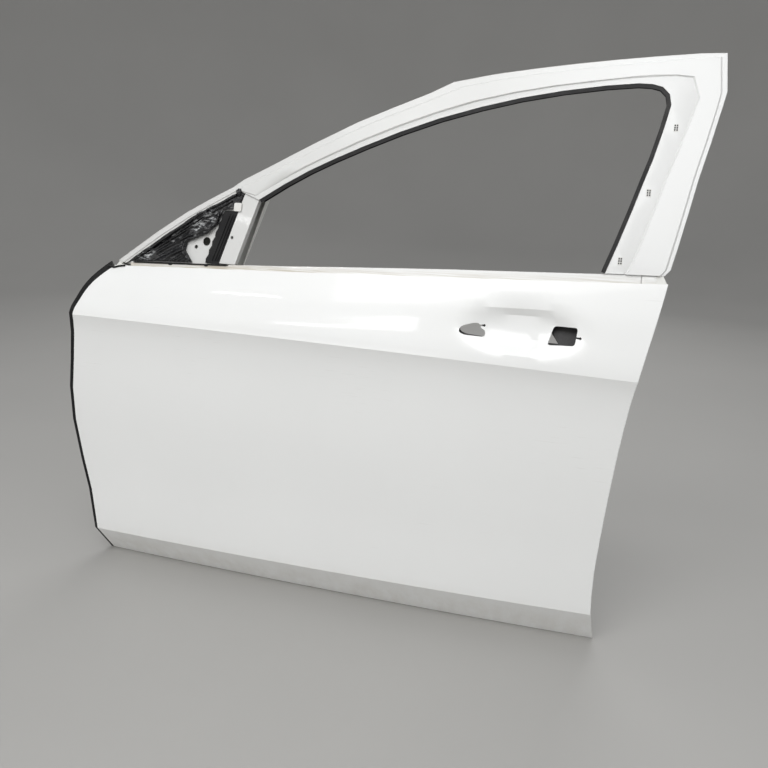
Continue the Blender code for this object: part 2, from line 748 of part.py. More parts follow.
def latch_wall_x(z):
    """The rear wall, with a straight stretch where the latch sits."""
    if LATCH_LOW < z < LATCH_HIGH:
        share = (z - LATCH_LOW) / (LATCH_HIGH - LATCH_LOW)
        return lerp(rear_x(LATCH_LOW), rear_x(LATCH_HIGH), share) - REAR_WALL_INSET
    return rear_x(z) - REAR_WALL_INSET


def wall_loop():
    """Where the inner panel's walls stand, one point for each point of the perimeter."""
    outline = perimeter()
    strip = STRIP_STATIONS + 1
    insets = [FRAME_WALL_INSET] * (len(outline) - strip) + [STRIP_WALL_INSET] * strip
    inset = offset(outline, insets, closed=True)
    front, bottom, rear = len(FRONT_EDGE), len(BOTTOM_EDGE) - 1, len(REAR_EDGE) - 1
    bottom_start, bottom_end = BOTTOM_EDGE[0][0], BOTTOM_EDGE[-1][0]
    wall_x, turn = HINGE_FACE_X + PANEL_T, HINGE_PLATE_HIGH + HINGE_PLATE_T
    top_x = inset[0][0] + FRAME_WALL_INSET
    top_z = belt_top(top_x) - GAP
    points = []
    for i, (x, z) in enumerate(outline):
        if i < front and z > turn:
            share = (z - turn) / (outline[0][1] - turn)
            points.append((lerp(wall_x, top_x, share), lerp(turn, top_z, share)))
        elif i < front:
            points.append((wall_x, max(z, BOTTOM_WALL_Z)))
        elif i < front + bottom:
            share = (x - bottom_start) / (bottom_end - bottom_start)
            points.append((lerp(wall_x, rear_x(BOTTOM_WALL_Z) - REAR_WALL_INSET, share), BOTTOM_WALL_Z))
        elif i < front + bottom + rear:
            points.append((latch_wall_x(z), z))
        else:
            points.append(inset[i])
    return points


def division_right(z):
    """The division post's edge on the window side."""
    x, top = WINDOW_ROOF[0]
    return x - DIVISION_SLANT_SHARE * FRAME_LENGTH * (top - z) / (top - belt_top(x))


def sill_point(x):
    return (x, belt_top(x) + SILL_RISE)


def window_hole():
    """The window opening in the inner panel: round the frame, then forward along the sill."""
    edge = offset(WINDOW_EDGE, LIP_OFFSET)
    start, end = edge[-1][0], division_right(belt_top(FRONT_GUIDE_X))
    sill = [sill_point(lerp(start, end, share)) for share in (0, 0.25, 0.5, 0.75, 1)]
    return edge + sill, [WINDOW_LIP_DEPTH] * len(edge) + [SILL_LIP_DEPTH] * len(sill)


def service_opening():
    return rounded([body_point(shares) for shares in SERVICE_SHARES], OPENING_CORNER, 4)


def speaker_hole():
    return circle(SPEAKER_X, SPEAKER_Z, SPEAKER_RADIUS, 24)


def small_holes():
    access = [box_outline(*body_point(shares), ACCESS_WIDTH, ACCESS_HEIGHT, ACCESS_CORNER)
              for shares in ACCESS_SHARES]
    clips = [circle(*body_point(shares), CLIP_HOLE_RADIUS, 8) for shares in CLIP_HOLE_SHARES]
    plugs = [circle(*body_point(shares), PLUG_RADIUS) for shares in PLUG_SHARES.values()]
    return access + clips + plugs


def stiffening_beads():
    """Long ribs pressed towards the cabin."""
    beads = []
    for along, up, length in BEAD_SHARES:
        x, z = body_point((along, up))
        beads.append(box_outline(x, z, length * DOOR_LENGTH, BEAD_WIDTH, BEAD_WIDTH / 2))
    return beads


def cut_hinge_face(target):
    """Bolt holes, check strap slot and wiring hole, through whatever stands at the hinge face."""
    for name, pad_z in (("upper", UPPER_HINGE_Z), ("lower", LOWER_HINGE_Z)):
        for end, sign in (("top", 1), ("bottom", -1)):
            hole = circle(HINGE_Y, pad_z + sign * HINGE_BOLT_SPACING / 2, HINGE_BOLT_RADIUS + BOLT_CLEARANCE)
            boolean(target, hinge_cutter("hinge_hole_%s_%s" % (name, end), hole))
    slot = box_outline(HINGE_Y, CHECK_Z, CHECK_WIDTH, CHECK_LENGTH, CHECK_WIDTH / 4)
    boolean(target, hinge_cutter("check_slot", slot))
    boolean(target, hinge_cutter("wiring_hole", circle(HINGE_Y, WIRING_Z, WIRING_RADIUS, 16)))


def hinge_cutter(name, outline):
    """A cutter through the hinge face, made once and shared."""
    if name in bpy.data.objects:
        return bpy.data.objects[name]
    return cutter(name, along_x(outline, HINGE_FACE_X - OVERRUN, HINGE_FACE_X + OVERRUN * 2))


def cut_latch_face(target):
    middle = (LATCH_LOW + LATCH_HIGH) / 2
    slot = box_outline(LATCH_Y, middle, LATCH_SLOT_WIDTH, LATCH_SLOT_HEIGHT, LATCH_SLOT_WIDTH / 4)
    outlines = {"latch_slot": slot}
    for name, sign in (("latch_screw_top", 1), ("latch_screw_bottom", -1)):
        outlines[name] = circle(LATCH_Y, middle + sign * LATCH_SCREW_SPACING / 2, LATCH_SCREW_RADIUS)
    wall = latch_wall_x(middle)
    for name, outline in outlines.items():
        if name not in bpy.data.objects:
            cutter(name, along_x(outline, wall - OVERRUN * 3, wall + OVERRUN * 3))
        boolean(target, bpy.data.objects[name])


def cut_drains(panel):
    for i, share in enumerate(DRAIN_SHARES):
        slot = box_outline(share * DOOR_LENGTH, 0, DRAIN_LENGTH, DRAIN_WIDTH, DRAIN_WIDTH / 3)
        low, high = BOTTOM_WALL_Z - OVERRUN, BOTTOM_WALL_Z + OVERRUN
        y = INNER_BOTTOM_Y / 2
        boolean(panel, cutter("drain_%d" % i, loft([[Vector((x, y + across_y, z)) for x, across_y in slot]
                                                    for z in (low, high)])))


def inner_panel():
    sheet = Sheet()
    edge = offset(perimeter(), FLANGE_INSET, closed=True)
    wall = wall_loop()
    foot = offset(wall, TRAY_FOOT, closed=True)
    hole, lip_depth = window_hole()
    curl = TRAY_FOOT / 2
    lip = offset(hole, curl, closed=True)
    service, speaker = service_opening(), speaker_hole()
    lands, lines = [], []
    for opening in (service, speaker):
        lands.append((offset(opening, -SEAL_LAND, closed=True), TRAY_D - SEAL_LAND_DEPTH))
        around = offset(opening, -SEAL_LAND - SEAL_LAND_SLOPE, closed=True)
        lines.append(around + around[:1])
    for bead in stiffening_beads():
        lands.append((bead, TRAY_D + BEAD_RISE))
        around = offset(bead, -BEAD_SLOPE, closed=True)
        lines.append(around + around[:1])
    lines.append([(x, belt_top(x)) for x in (foot[0][0] + TRAY_FOOT, hole[-1][0])])
    middle = [tuple(Vector(a).lerp(Vector(b), FLANGE_MIDDLE_SHARE)) for a, b in zip(edge, wall)]
    sheet.band(edge, FLANGE_D, middle, FLANGE_D, closed=True)
    sheet.band(middle, FLANGE_D, wall, FLANGE_D, closed=True)
    sheet.band(wall, FLANGE_D, wall, TRAY_D - TRAY_FOOT, closed=True)
    sheet.band(wall, TRAY_D - TRAY_FOOT, foot, TRAY_D, closed=True)
    sheet.fill(foot, TRAY_D, holes=[lip, service, speaker] + small_holes(), lands=lands, lines=lines)
    sheet.band(lip, TRAY_D, hole, TRAY_D - curl, closed=True)
    sheet.band(hole, TRAY_D - curl, hole, [TRAY_D - curl - depth for depth in lip_depth], closed=True)
    panel = finish("inner_panel", sheet.solid(PANEL_T, on_tray), inner_paint())
    cut_hinge_face(panel)
    cut_latch_face(panel)
    cut_drains(panel)


# Window frame

def frame_outer_path():
    return ROOF_OUTER + POST_OUTER


def frame_window_path():
    """The frame's inner edge: along the mirror triangle, over the window and down the rear post."""
    strip = offset(ROOF_OUTER, -STRIP_WIDTH)[1:STRIP_STATIONS]
    return frame_points(STRIP_START_SHARES) + strip + frame_points(STRIP_END_SHARES) + WINDOW_EDGE


def window_frame_outer():
    outer, window = frame_outer_path(), frame_window_path()
    lines = []
    for i, (o, w) in enumerate(zip(outer, window)):
        width = (Vector(w) - Vector(o)).length
        run = min(STEP_RUN / width, STEP_LIMIT_SHARE)
        flange, low = interpolate(FLANGE_SHARES, i), interpolate(GROOVE_SHARES, i)
        shares = (0, flange, flange + run, low - run, low, low + run, 1)
        lines.append([tuple(Vector(o).lerp(Vector(w), share)) for share in shares])
    paths = [list(path) for path in zip(*lines)]
    groove = [-FRAME_FIELD * (1 - interpolate(GROOVE_DEPTH_SHARES, i)) for i in range(len(window))]
    depths = (0, 0, -FRAME_STEP, -FRAME_STEP, groove, -FRAME_FIELD, -FRAME_FIELD)
    sheet = Sheet()
    for path, d, next_path, next_d in zip(paths, depths, paths[1:], depths[1:]):
        sheet.band(path, d, next_path, next_d)
    lip = [FRAME_LIP * interpolate(FRAME_LIP_SHARES, i) for i in range(len(window))]
    sheet.band(paths[-1], depths[-1], paths[-1], lip)
    frame = finish("window_frame_outer", sheet.solid(SKIN_T, on_body), white_paint())
    for i, (x, z) in enumerate(frame_points(CLIP_SLOT_SHARES)):
        slot = box_outline(x, z, CLIP_SLOT_WIDTH, CLIP_SLOT_LENGTH, CLIP_SLOT_WIDTH / 2)
        y = outer_y(x, z)
        boolean(frame, cutter("clip_slot_%d" % i, plate(slot, y - OVERRUN, y + OVERRUN)))


def under_frame(reach):
    """Where a line beside the division post's edge meets the underside of the frame."""
    (ax, az), (bx, bz) = frame_window_path()[STRIP_STATIONS:STRIP_STATIONS + 2]
    x, z = ax, az
    for _ in range(6):
        x = division_right(z) + reach
        z = lerp(az, bz, (x - ax) / (bx - ax)) - SEAT * 2
    return (x, z)


def division_post():
    foot = strip_top(FRONT_GUIDE_X + DIVISION_WIDTH) + SEAT
    right = [(division_right(foot) - SEAT, foot), under_frame(-SEAT)]
    left = [(division_right(foot) - DIVISION_WIDTH, foot), under_frame(-DIVISION_WIDTH)]
    sheet = Sheet()
    sheet.band(left, DIVISION_D, right, DIVISION_D)
    sheet.band(left, DIVISION_D, left, DIVISION_DEPTH)
    sheet.band(right, DIVISION_D, right, DIVISION_DEPTH)
    post = finish("division_post", sheet.solid(SKIN_T, on_triangle), white_paint())
    x, z = frame_points([POST_HOLE_SHARES])[0]
    y = on_triangle(x, 0, z).y
    boolean(post, cutter("post_hole", plate(circle(x, z, POST_HOLE_RADIUS), y - OVERRUN, y + OVERRUN)))


# Mirror triangle: its pieces share one flat plane

def on_triangle(x, d, z):
    roof, heel = frame_points(STRIP_END_SHARES)[0], (FRONT_GUIDE_X, belt_top(FRONT_GUIDE_X))
    a, b, c = (Vector((px, outer_y(px, pz), pz)) for px, pz in (ROOF_OUTER[0], roof, heel))
    normal = (b - a).cross(c - a)
    return Vector((x, a.y - (normal.x * (x - a.x) + normal.z * (z - a.z)) / normal.y + d, z))


def triangle_top(floor):
    """The frame's edge along the triangle, clear of the frame, from the floor line to the division post."""
    path = offset(frame_window_path()[:STRIP_STATIONS + 2], -SEAT)[:-1]
    start = next(i for i, (x, z) in enumerate(path) if z > floor(x))
    (ax, az), (bx, bz) = path[start - 1], path[start]
    under, over = floor(ax) - az, bz - floor(bx)
    tip = tuple(Vector(path[start - 1]).lerp(Vector(path[start]), under / (under + over)))
    return [tip] + path[start:] + [under_frame(-DIVISION_WIDTH - SEAT)]


def mirror_mount_plate():
    top = triangle_top(lambda x: sill_point(x)[1])
    low_z = belt_top(FRONT_GUIDE_X) + SILL_RISE
    heel = (division_right(low_z) - DIVISION_WIDTH - SEAT, low_z)
    sheet = Sheet()
    hole = circle(*frame_points([PLATE_HOLE_SHARES])[0], MIRROR_HOLE_RADIUS)
    screw = circle(*frame_points([PLATE_SCREW_SHARES])[0], MIRROR_SCREW_RADIUS)
    sheet.fill([heel] + top[::-1], PLATE_D, holes=[hole, screw])
    finish("mirror_mount_plate", sheet.solid(PLATE_T, on_triangle), white_paint())


def mirror_foam_seal():
    top = triangle_top(lambda x: strip_top(x) + SEAT)
    sheet = Sheet()
    sheet.fill(top + frame_points(FOAM_TEAR_SHARES), FOAM_D)
    finish("mirror_foam_seal", sheet.solid(PLATE_D - GAP - FOAM_D, on_triangle), black_rubber())


def mirror_edge_gasket():
    low, high = strip_top(FRONT_GUIDE_X) + SEAT, frame_points(FOAM_TEAR_SHARES)[1][1] - SEAT * 2
    left, right = [], []
    for i in range(2 * TEETH + 1):
        z = lerp(low, high, i / (2 * TEETH))
        x = division_right(z) - DIVISION_WIDTH - SEAT
        right.append((x, z))
        left.append((x - GASKET_WIDTH + SEAT - TOOTH * (i % 2), z))
    sheet = Sheet()
    sheet.band(left, FOAM_D, right, FOAM_D)
    finish("mirror_edge_gasket", sheet.solid(PLATE_D - GAP - FOAM_D, on_triangle), black_rubber())


def mirror_clip():
    sheet = Sheet()
    outline = box_outline(*frame_points([CLIP_PLACE_SHARES])[0], CLIP_SIZE, CLIP_SIZE, CLIP_SIZE / 6)
    sheet.fill(outline, FOAM_D - GAP - CLIP_T)
    finish("mirror_clip", sheet.solid(CLIP_T, on_triangle), white_paint())


# Rails along the waist

def rail_lines(start, end, heights, steps=12):
    """Lines along the door, each at its own height below the belt."""
    stations = [lerp(start, end, i / steps) for i in range(steps + 1)]
    return [[(x, height(x)) for x in stations] for height in heights]


def hat_rail(name, start, end, top, drop, hat, d, place, thickness):
    """A hat section: flange, slope, raised floor, slope, flange."""
    heights = top + [lambda x, down=down: belt_top(x) - down
                     for down in (RAIL_FLANGE, RAIL_FLANGE + RAIL_SLOPE, drop - RAIL_FLANGE - RAIL_SLOPE,
                                  drop - RAIL_FLANGE, drop)]
    lines = rail_lines(start, end, heights)
    depths = [d] * len(top) + [d, d + hat, d + hat, d, d]
    sheet = Sheet()
    for low, d_low, high, d_high in zip(lines, depths, lines[1:], depths[1:]):
        sheet.band(low, d_low, high, d_high)
    finish(name, sheet.solid(thickness, place), inner_paint())


def on_inner(x, d, z):
    return Vector((x, inner_y(x, z) + d, z))


def waist_rails():
    hat_rail("outer_waist_rail", RAIL_FRONT_X, RAIL_REAR_X, [strip_top, belt_top], RAIL_DROP, RAIL_HAT,
             FLANGE_D, on_body, RAIL_T)
    hat_rail("inner_waist_rail", INNER_RAIL_FRONT_X, INNER_RAIL_REAR_X, [lambda x: belt_top(x) - SILL_RISE],
             INNER_RAIL_DROP, -INNER_RAIL_HAT, -GAP - RAIL_T, on_inner, RAIL_T)


# Seals

def glass_run_seal():
    """A U of rubber in the frame's channel, open to the window."""
    profile = ((SEAT, -FRAME_STEP + RUN_PROUD), (RUN_WIDTH, -FRAME_STEP + RUN_WALL / 2),
               (RUN_WIDTH, RUN_WALL / 2), (RUN_WALL, RUN_WALL), (RUN_WALL, RUN_DEPTH - RUN_WALL),
               (RUN_WIDTH, RUN_DEPTH - RUN_WALL / 2), (RUN_WIDTH, RUN_DEPTH), (SEAT, RUN_DEPTH))
    path = [tuple(Vector(WINDOW_EDGE[0]).lerp(Vector(WINDOW_EDGE[1]), RUN_START_SHARE))] + WINDOW_EDGE[1:]
    sides = [offset(path, -reach) for reach, _ in profile]
    sections = [[on_body(x, d, z) for (x, z), (_, d) in zip(points, profile)] for points in zip(*sides)]
    finish("glass_run_seal", loft(sections, caps=U_CAPS), black_rubber())


def front_edge_seal():
    """A strip seated on the back of the hem, with a lip that stands forward of the skin's edge."""
    corner = tuple(Vector(FRONT_EDGE[-1]).lerp(Vector(FRONT_EDGE[-2]), EDGE_SEAL_START_SHARE))
    path = [corner] + FRONT_EDGE[-2::-1]
    lip = [lerp(EDGE_LIP_TOP, EDGE_LIP_BOTTOM, i / (len(path) - 1)) for i in range(len(path))]
    foot = offset(path, EDGE_FOOT)
    heel = offset(path, -GAP)
    nose = offset(path, [-reach for reach in lip])
    back = HEM_D + SEAT
    profile = ((foot, back), (heel, back), (heel, EDGE_FRONT_D), (nose, EDGE_FRONT_D * 2),
               (nose, EDGE_BACK_D), (heel, EDGE_BACK_D), (foot, EDGE_BACK_D))
    sections = [[on_body(side[i][0], d, side[i][1]) for side, d in profile] for i in range(len(path))]
    finish("front_edge_seal", loft(sections, caps=LIP_CAPS), black_rubber())


# Inside the door

def ring(centre, axis, radius, sides=16):
    turn = axis.to_track_quat("Z", "Y").to_matrix()
    return [centre + turn @ Vector((radius * math.cos(a), radius * math.sin(a), 0))
            for a in (2 * math.pi * i / sides for i in range(sides))]


def side_impact_beam():
    front = Vector((BEAM_FRONT_X, BEAM_Y, BEAM_FRONT_Z))
    rear = Vector((BEAM_REAR_X, BEAM_Y, BEAM_REAR_Z))
    axis = (rear - front).normalized()
    bore = BEAM_RADIUS - BEAM_WALL
    ends = ((front, BEAM_RADIUS), (rear, BEAM_RADIUS), (rear, bore), (front, bore))
    rings = [ring(end, axis, radius) for end, radius in ends]
    finish("side_impact_beam", loft(rings, closed=True), grey_steel())


def beam_bracket(name, face_x, side, mid_z):
    """An angle: one leg on the door's end wall, the other along the beam's inboard side."""
    near_y = BEAM_Y + BEAM_RADIUS + GAP
    far_y = HINGE_Y - HINGE_PLATE_WIDTH / 2 + HINGE_PLATE_T + SEAT
    sections = []
    for z in (mid_z - BRACKET_HEIGHT / 2, mid_z + BRACKET_HEIGHT / 2):
        x = face_x(z)
        profile = ((0, far_y), (BRACKET_T, far_y), (BRACKET_T, near_y), (BRACKET_REACH, near_y),
                   (BRACKET_REACH, near_y + BRACKET_T), (0, near_y + BRACKET_T))
        sections.append([Vector((x + side * reach, y, z)) for reach, y in profile])
    finish(name, loft(sections, caps=L_CAPS), grey_steel())


def hinge_plate_x():
    return HINGE_FACE_X + PANEL_T + GAP


def beam_brackets():
    beam_bracket("beam_front_bracket", lambda z: hinge_plate_x() + HINGE_PLATE_T + GAP, 1, BEAM_FRONT_Z)
    beam_bracket("beam_rear_bracket", lambda z: latch_wall_x(z) - SEAT * 2, -1, BEAM_REAR_Z)


def mastic_beads():
    """Soft blocks between the beam and the skin."""
    names = ("mastic_bead_front", "mastic_bead_middle", "mastic_bead_rear")
    back = BEAM_Y - BEAM_RADIUS - GAP
    for name, share in zip(names, MASTIC_SHARES):
        x = lerp(BEAM_FRONT_X, BEAM_REAR_X, share)
        z = lerp(BEAM_FRONT_Z, BEAM_REAR_Z, share)
        corners = box_outline(x, z, MASTIC_LENGTH, MASTIC_HEIGHT, MASTIC_HEIGHT / 4)
        front = [on_body(px, SKIN_T + SEAT, pz) for px, pz in corners]
        finish(name, loft([front, [Vector((px, back, pz)) for px, pz in corners]]), grey_mastic())


def damping_pad():
    sheet = Sheet()
    columns = [PAD_X + PAD_LENGTH * i / 6 for i in range(7)]
    sheet.grid([[(x, section(x)[row][0]) for x in columns] for row in PAD_ROWS], SKIN_T + GAP)
    finish("damping_pad", sheet.solid(PAD_T, on_body), grey_mastic())


def glass_guide(name, top_x, foot_x, opens):
    """A channel for the glass edge, with a foot that stands on the inner panel."""
    half, deep, t = GUIDE_WIDTH / 2, GUIDE_DEPTH, GUIDE_T
    profile = ((0, -half), (deep, -half), (deep, -half + t), (t, -half + t), (t, half - t), (deep, half - t),
               (deep, half), (0, half))
    top = (top_x, GUIDE_TOP_Y, belt_top(top_x) - GUIDE_TOP_DROP)
    sections = []
    for x, y, z in (top, (foot_x, GUIDE_FOOT_Y, GUIDE_FOOT_Z)):
        sections.append([Vector((x + opens * reach, y + across_y, z)) for reach, across_y in profile])
    guide = finish(name, loft(sections, caps=U_CAPS), grey_steel())
    foot = []
    for z in (GUIDE_FOOT_Z, GUIDE_FOOT_Z + GUIDE_FOOT_HEIGHT):
        corners = ((t / 2, half - t / 2), (deep, half - t / 2), (deep, None), (t / 2, None))
        foot.append([Vector((foot_x + opens * reach, inner_y(foot_x, z) - GAP if across_y is None
                             else GUIDE_FOOT_Y + across_y, z)) for reach, across_y in corners])
    boolean(guide, cutter(name + "_foot", loft(foot)), "UNION")


def hinge_reinforcement():
    """A channel that backs the hinge face."""
    x, t, half = hinge_plate_x(), HINGE_PLATE_T, HINGE_PLATE_WIDTH / 2
    profile = ((0, -half), (HINGE_PLATE_FLANGE, -half), (HINGE_PLATE_FLANGE, t - half), (t, t - half),
               (t, half - t), (HINGE_PLATE_FLANGE, half - t), (HINGE_PLATE_FLANGE, half), (0, half))
    sections = [[Vector((x + reach, HINGE_Y + across_y, z)) for reach, across_y in profile]
                for z in (HINGE_PLATE_LOW, HINGE_PLATE_HIGH)]
    made = finish("hinge_reinforcement", loft(sections, caps=U_CAPS), grey_steel())
    cut_hinge_face(made)


def hinge_nut_plates():
    low_x = hinge_plate_x() + HINGE_PLATE_T + GAP
    for name, pad_z in (("upper", UPPER_HINGE_Z), ("lower", LOWER_HINGE_Z)):
        outline = box_outline(HINGE_Y, pad_z, NUT_PLATE_WIDTH, NUT_PLATE_HEIGHT, NUT_PLATE_WIDTH / 8)
        block = along_x(outline, low_x, low_x + NUT_PLATE_T)
        nut_plate = finish(name + "_hinge_nut_plate", block, grey_steel())
        for end, sign in (("top", 1), ("bottom", -1)):
            bore = circle(HINGE_Y, pad_z + sign * HINGE_BOLT_SPACING / 2, HINGE_BOLT_RADIUS)
            tool = along_x(bore, low_x - OVERRUN, low_x + NUT_PLATE_T + OVERRUN)
            boolean(nut_plate, cutter("nut_bore_%s_%s" % (name, end), tool))


def check_strap_plate():
    low_x = hinge_plate_x() + HINGE_PLATE_T + GAP
    outline = box_outline(HINGE_Y, CHECK_Z, NUT_PLATE_WIDTH, CHECK_PLATE_HEIGHT, NUT_PLATE_WIDTH / 8)
    made = finish("check_strap_plate", along_x(outline, low_x, low_x + CHECK_PLATE_T), grey_steel())
    slot = box_outline(HINGE_Y, CHECK_Z, CHECK_WIDTH, CHECK_LENGTH, CHECK_WIDTH / 4)
    boolean(made, cutter("check_plate_slot", along_x(slot, low_x - OVERRUN, low_x + CHECK_PLATE_T + OVERRUN)))


def latch_reinforcement():
    half = LATCH_PLATE_WIDTH / 2
    corners = []
    for z in (LATCH_LOW, LATCH_HIGH):
        x = latch_wall_x(z) - GAP
        corners.append([Vector((x - reach, LATCH_Y + across_y, z)) for reach, across_y in
                        ((0, -half), (LATCH_PLATE_T, -half), (LATCH_PLATE_T, half), (0, half))])
    made = finish("latch_reinforcement", loft(corners), grey_steel())
    cut_latch_face(made)


def on_carrier(x, d, z):
    """A plane behind the bowl, as near to the skin as its deepest place allows."""
    return Vector((x, CARRIER_Y + CARRIER_SLOPE * (z - BOWL_Z) + d, z))


def carrier_outline():
    return box_outline(BOWL_X, BOWL_Z, CARRIER_LENGTH, CARRIER_HEIGHT, CARRIER_CORNER)


CARRIER_SLOPE = (CREASE_OUT - BELT_OUT) / (belt_top(BOWL_X) - BODY_HEIGHT + CREASE_FALL)
CARRIER_Y = SKIN_T + CARRIER_GAP + max(
    outer_y(BOWL_X + along * CARRIER_LENGTH / 2, BOWL_Z + up * CARRIER_HEIGHT / 2)
    - CARRIER_SLOPE * up * CARRIER_HEIGHT / 2
    for along in (i / 20 - 1 for i in range(41)) for up in (i / 8 - 1 for i in range(17)))


def handle_carrier():
    """A moulded carrier: open behind the left cut-out, a pocket behind the right one."""
    sheet = Sheet()
    wide, high = LEFT_CUT_WIDTH + OVERRUN, LEFT_CUT_HEIGHT + OVERRUN
    window = scaled(LEFT_CUT_SHARES, LEFT_CUT_X, LEFT_CUT_Z, wide, high)
    pocket = scaled(POCKET_SHARES, RIGHT_CUT_X, RIGHT_CUT_Z, RIGHT_CUT_WIDTH, RIGHT_CUT_HEIGHT)
    pocket = rounded(pocket, CUT_CORNER)
    view = scaled(POCKET_VIEW_SHARES, RIGHT_CUT_X, RIGHT_CUT_Z, RIGHT_CUT_WIDTH, RIGHT_CUT_HEIGHT)
    sheet.fill(carrier_outline(), 0, holes=[rounded(window, CUT_CORNER, 2), pocket])
    sheet.band(pocket, 0, pocket, POCKET_DEPTH, closed=True)
    sheet.fill(pocket, POCKET_DEPTH, holes=[view])
    finish("handle_carrier", sheet.solid(CARRIER_T, on_carrier), black_plastic())


def blanking_plug(name, place):
    """A rubber plug in a hole of the inner panel, its head on the cabin side."""
    x, z = place
    tilt = Vector((0, 1, (INNER_BOTTOM_Y - INNER_BELT_Y) / BODY_HEIGHT)).normalized()
    centre = Vector((x, inner_y(x, z), z))
    back, head = PANEL_T + GAP, PANEL_T + GAP + PLUG_T
    stem = PLUG_RADIUS - SEAT
    taper = PLUG_TAPER_SHARE
    rings = [(stem * taper, -PLUG_T), (stem, 0), (stem, back), (PLUG_RADIUS + PLUG_FLANGE, back),
             (PLUG_RADIUS + PLUG_FLANGE * taper, head), (stem * taper, head)]
    finish(name, loft([ring(centre + tilt * up, tilt, radius) for radius, up in rings]), black_rubber())


def clear_scene():
    for existing in list(bpy.data.objects):
        bpy.data.objects.remove(existing)


def main():
    clear_scene()
    outer_skin()
    inner_panel()
    window_frame_outer()
    division_post()
    mirror_mount_plate()
    mirror_foam_seal()
    mirror_edge_gasket()
    mirror_clip()
    waist_rails()
    glass_run_seal()
    front_edge_seal()
    side_impact_beam()
    beam_brackets()
    mastic_beads()
    damping_pad()
    glass_guide("front_glass_guide", FRONT_GUIDE_X, FRONT_GUIDE_FOOT_X, 1)
    glass_guide("rear_glass_guide", REAR_GUIDE_X, REAR_GUIDE_FOOT_X, -1)
    hinge_reinforcement()
    hinge_nut_plates()
    check_strap_plate()
    latch_reinforcement()
    handle_carrier()
    for where, shares in PLUG_SHARES.items():
        blanking_plug("blanking_plug_" + where, body_point(shares))


main()
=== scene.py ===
"""Looks of a bare car door shell: white gloss paint, soiled belt strip, torn black foam and rubber seals."""
import math

import bmesh
import bpy
from bpy.props import FloatProperty, FloatVectorProperty, PointerProperty
from mathutils import Matrix, Vector, noise
from mathutils.bvhtree import BVHTree


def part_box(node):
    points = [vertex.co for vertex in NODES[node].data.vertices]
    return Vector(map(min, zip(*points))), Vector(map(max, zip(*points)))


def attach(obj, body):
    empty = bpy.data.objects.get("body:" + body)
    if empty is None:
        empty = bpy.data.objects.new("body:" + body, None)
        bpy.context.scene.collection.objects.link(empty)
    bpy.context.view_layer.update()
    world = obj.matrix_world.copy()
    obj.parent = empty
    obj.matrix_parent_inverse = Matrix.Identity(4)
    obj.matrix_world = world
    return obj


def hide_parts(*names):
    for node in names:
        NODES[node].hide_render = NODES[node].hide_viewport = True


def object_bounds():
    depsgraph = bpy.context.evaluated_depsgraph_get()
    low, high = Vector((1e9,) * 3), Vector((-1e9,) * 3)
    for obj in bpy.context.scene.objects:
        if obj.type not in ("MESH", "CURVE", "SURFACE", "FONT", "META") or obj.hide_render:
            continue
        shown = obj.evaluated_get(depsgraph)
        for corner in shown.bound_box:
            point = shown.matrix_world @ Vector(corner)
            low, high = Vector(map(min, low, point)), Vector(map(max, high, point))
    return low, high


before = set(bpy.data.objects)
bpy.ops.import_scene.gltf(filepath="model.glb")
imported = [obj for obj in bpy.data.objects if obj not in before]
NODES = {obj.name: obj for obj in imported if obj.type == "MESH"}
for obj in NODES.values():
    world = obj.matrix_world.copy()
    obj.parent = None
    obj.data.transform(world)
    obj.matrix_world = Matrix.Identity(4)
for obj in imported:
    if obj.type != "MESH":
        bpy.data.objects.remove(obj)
SOLID_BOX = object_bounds()

bl_info = {
    "name": "Car Door Shell Finish",
    "version": (1, 0, 0),
    "blender": (4, 5, 0),
    "location": "View3D > Sidebar > Door Shell",
    "description": "Paints and details a bare car door shell on its packed solids",
    "category": "Object",
}

# Solids by finish
PAINTED_FRAME = ("window_frame_outer", "division_post", "mirror_mount_plate")
PAINTED_INSIDE = ("inner_panel", "inner_waist_rail")
STEEL_PIECES = ("side_impact_beam", "beam_front_bracket", "beam_rear_bracket", "front_glass_guide",
                "rear_glass_guide", "hinge_reinforcement", "upper_hinge_nut_plate", "lower_hinge_nut_plate",
                "check_strap_plate", "latch_reinforcement")
RUBBER_PIECES = ("glass_run_seal", "front_edge_seal", "mirror_edge_gasket", "blanking_plug_front",
                 "blanking_plug_rear")
MASTIC_PIECES = ("mastic_bead_front", "mastic_bead_middle", "mastic_bead_rear")

# Folds flatter than this many degrees are shaded smooth
PLAIN_FOLDS = 30.0
SKIN_FOLDS = 24.0
RUBBER_FOLDS = 40.0
MASTIC_FOLDS = 50.0
MERGE_DISTANCE = 0.00001

# Height of the skin's top edge at the hinges, and its rise for each metre towards the rear
BELT_FRONT = 0.1595
BELT_RISE = 0.0402

# The paint: where each kind of dirt starts and where it is full, where the painted shade on the frame's front
# starts and is full, the chip, the ripples, and the frame's painted shade
FLOOR_HEIGHT = SOLID_BOX[0].z
LOW_DIRT = (FLOOR_HEIGHT + 0.085, FLOOR_HEIGHT + 0.03)
BELT_DIRT = (0.014, 0.001)
BELT_DIRT_REAR = (0.62, 0.34)
BELT_DIRT_REAR_SHARE = 0.45
# Painted shade: where the frame starts to be drawn greyer, and where it is full, towards its front
FRONT_SHADE_SPAN = (0.98, 0.72)
CHIP_PLACE = (0.1583, -0.0402, -0.2113)
CHIP_RADII = (0.0016, 0.0010)
PEEL_HEIGHT = 0.000018
# Painted shade: the frame's paint is the skin's white drawn this much darker
FRAME_SHADE = 0.88
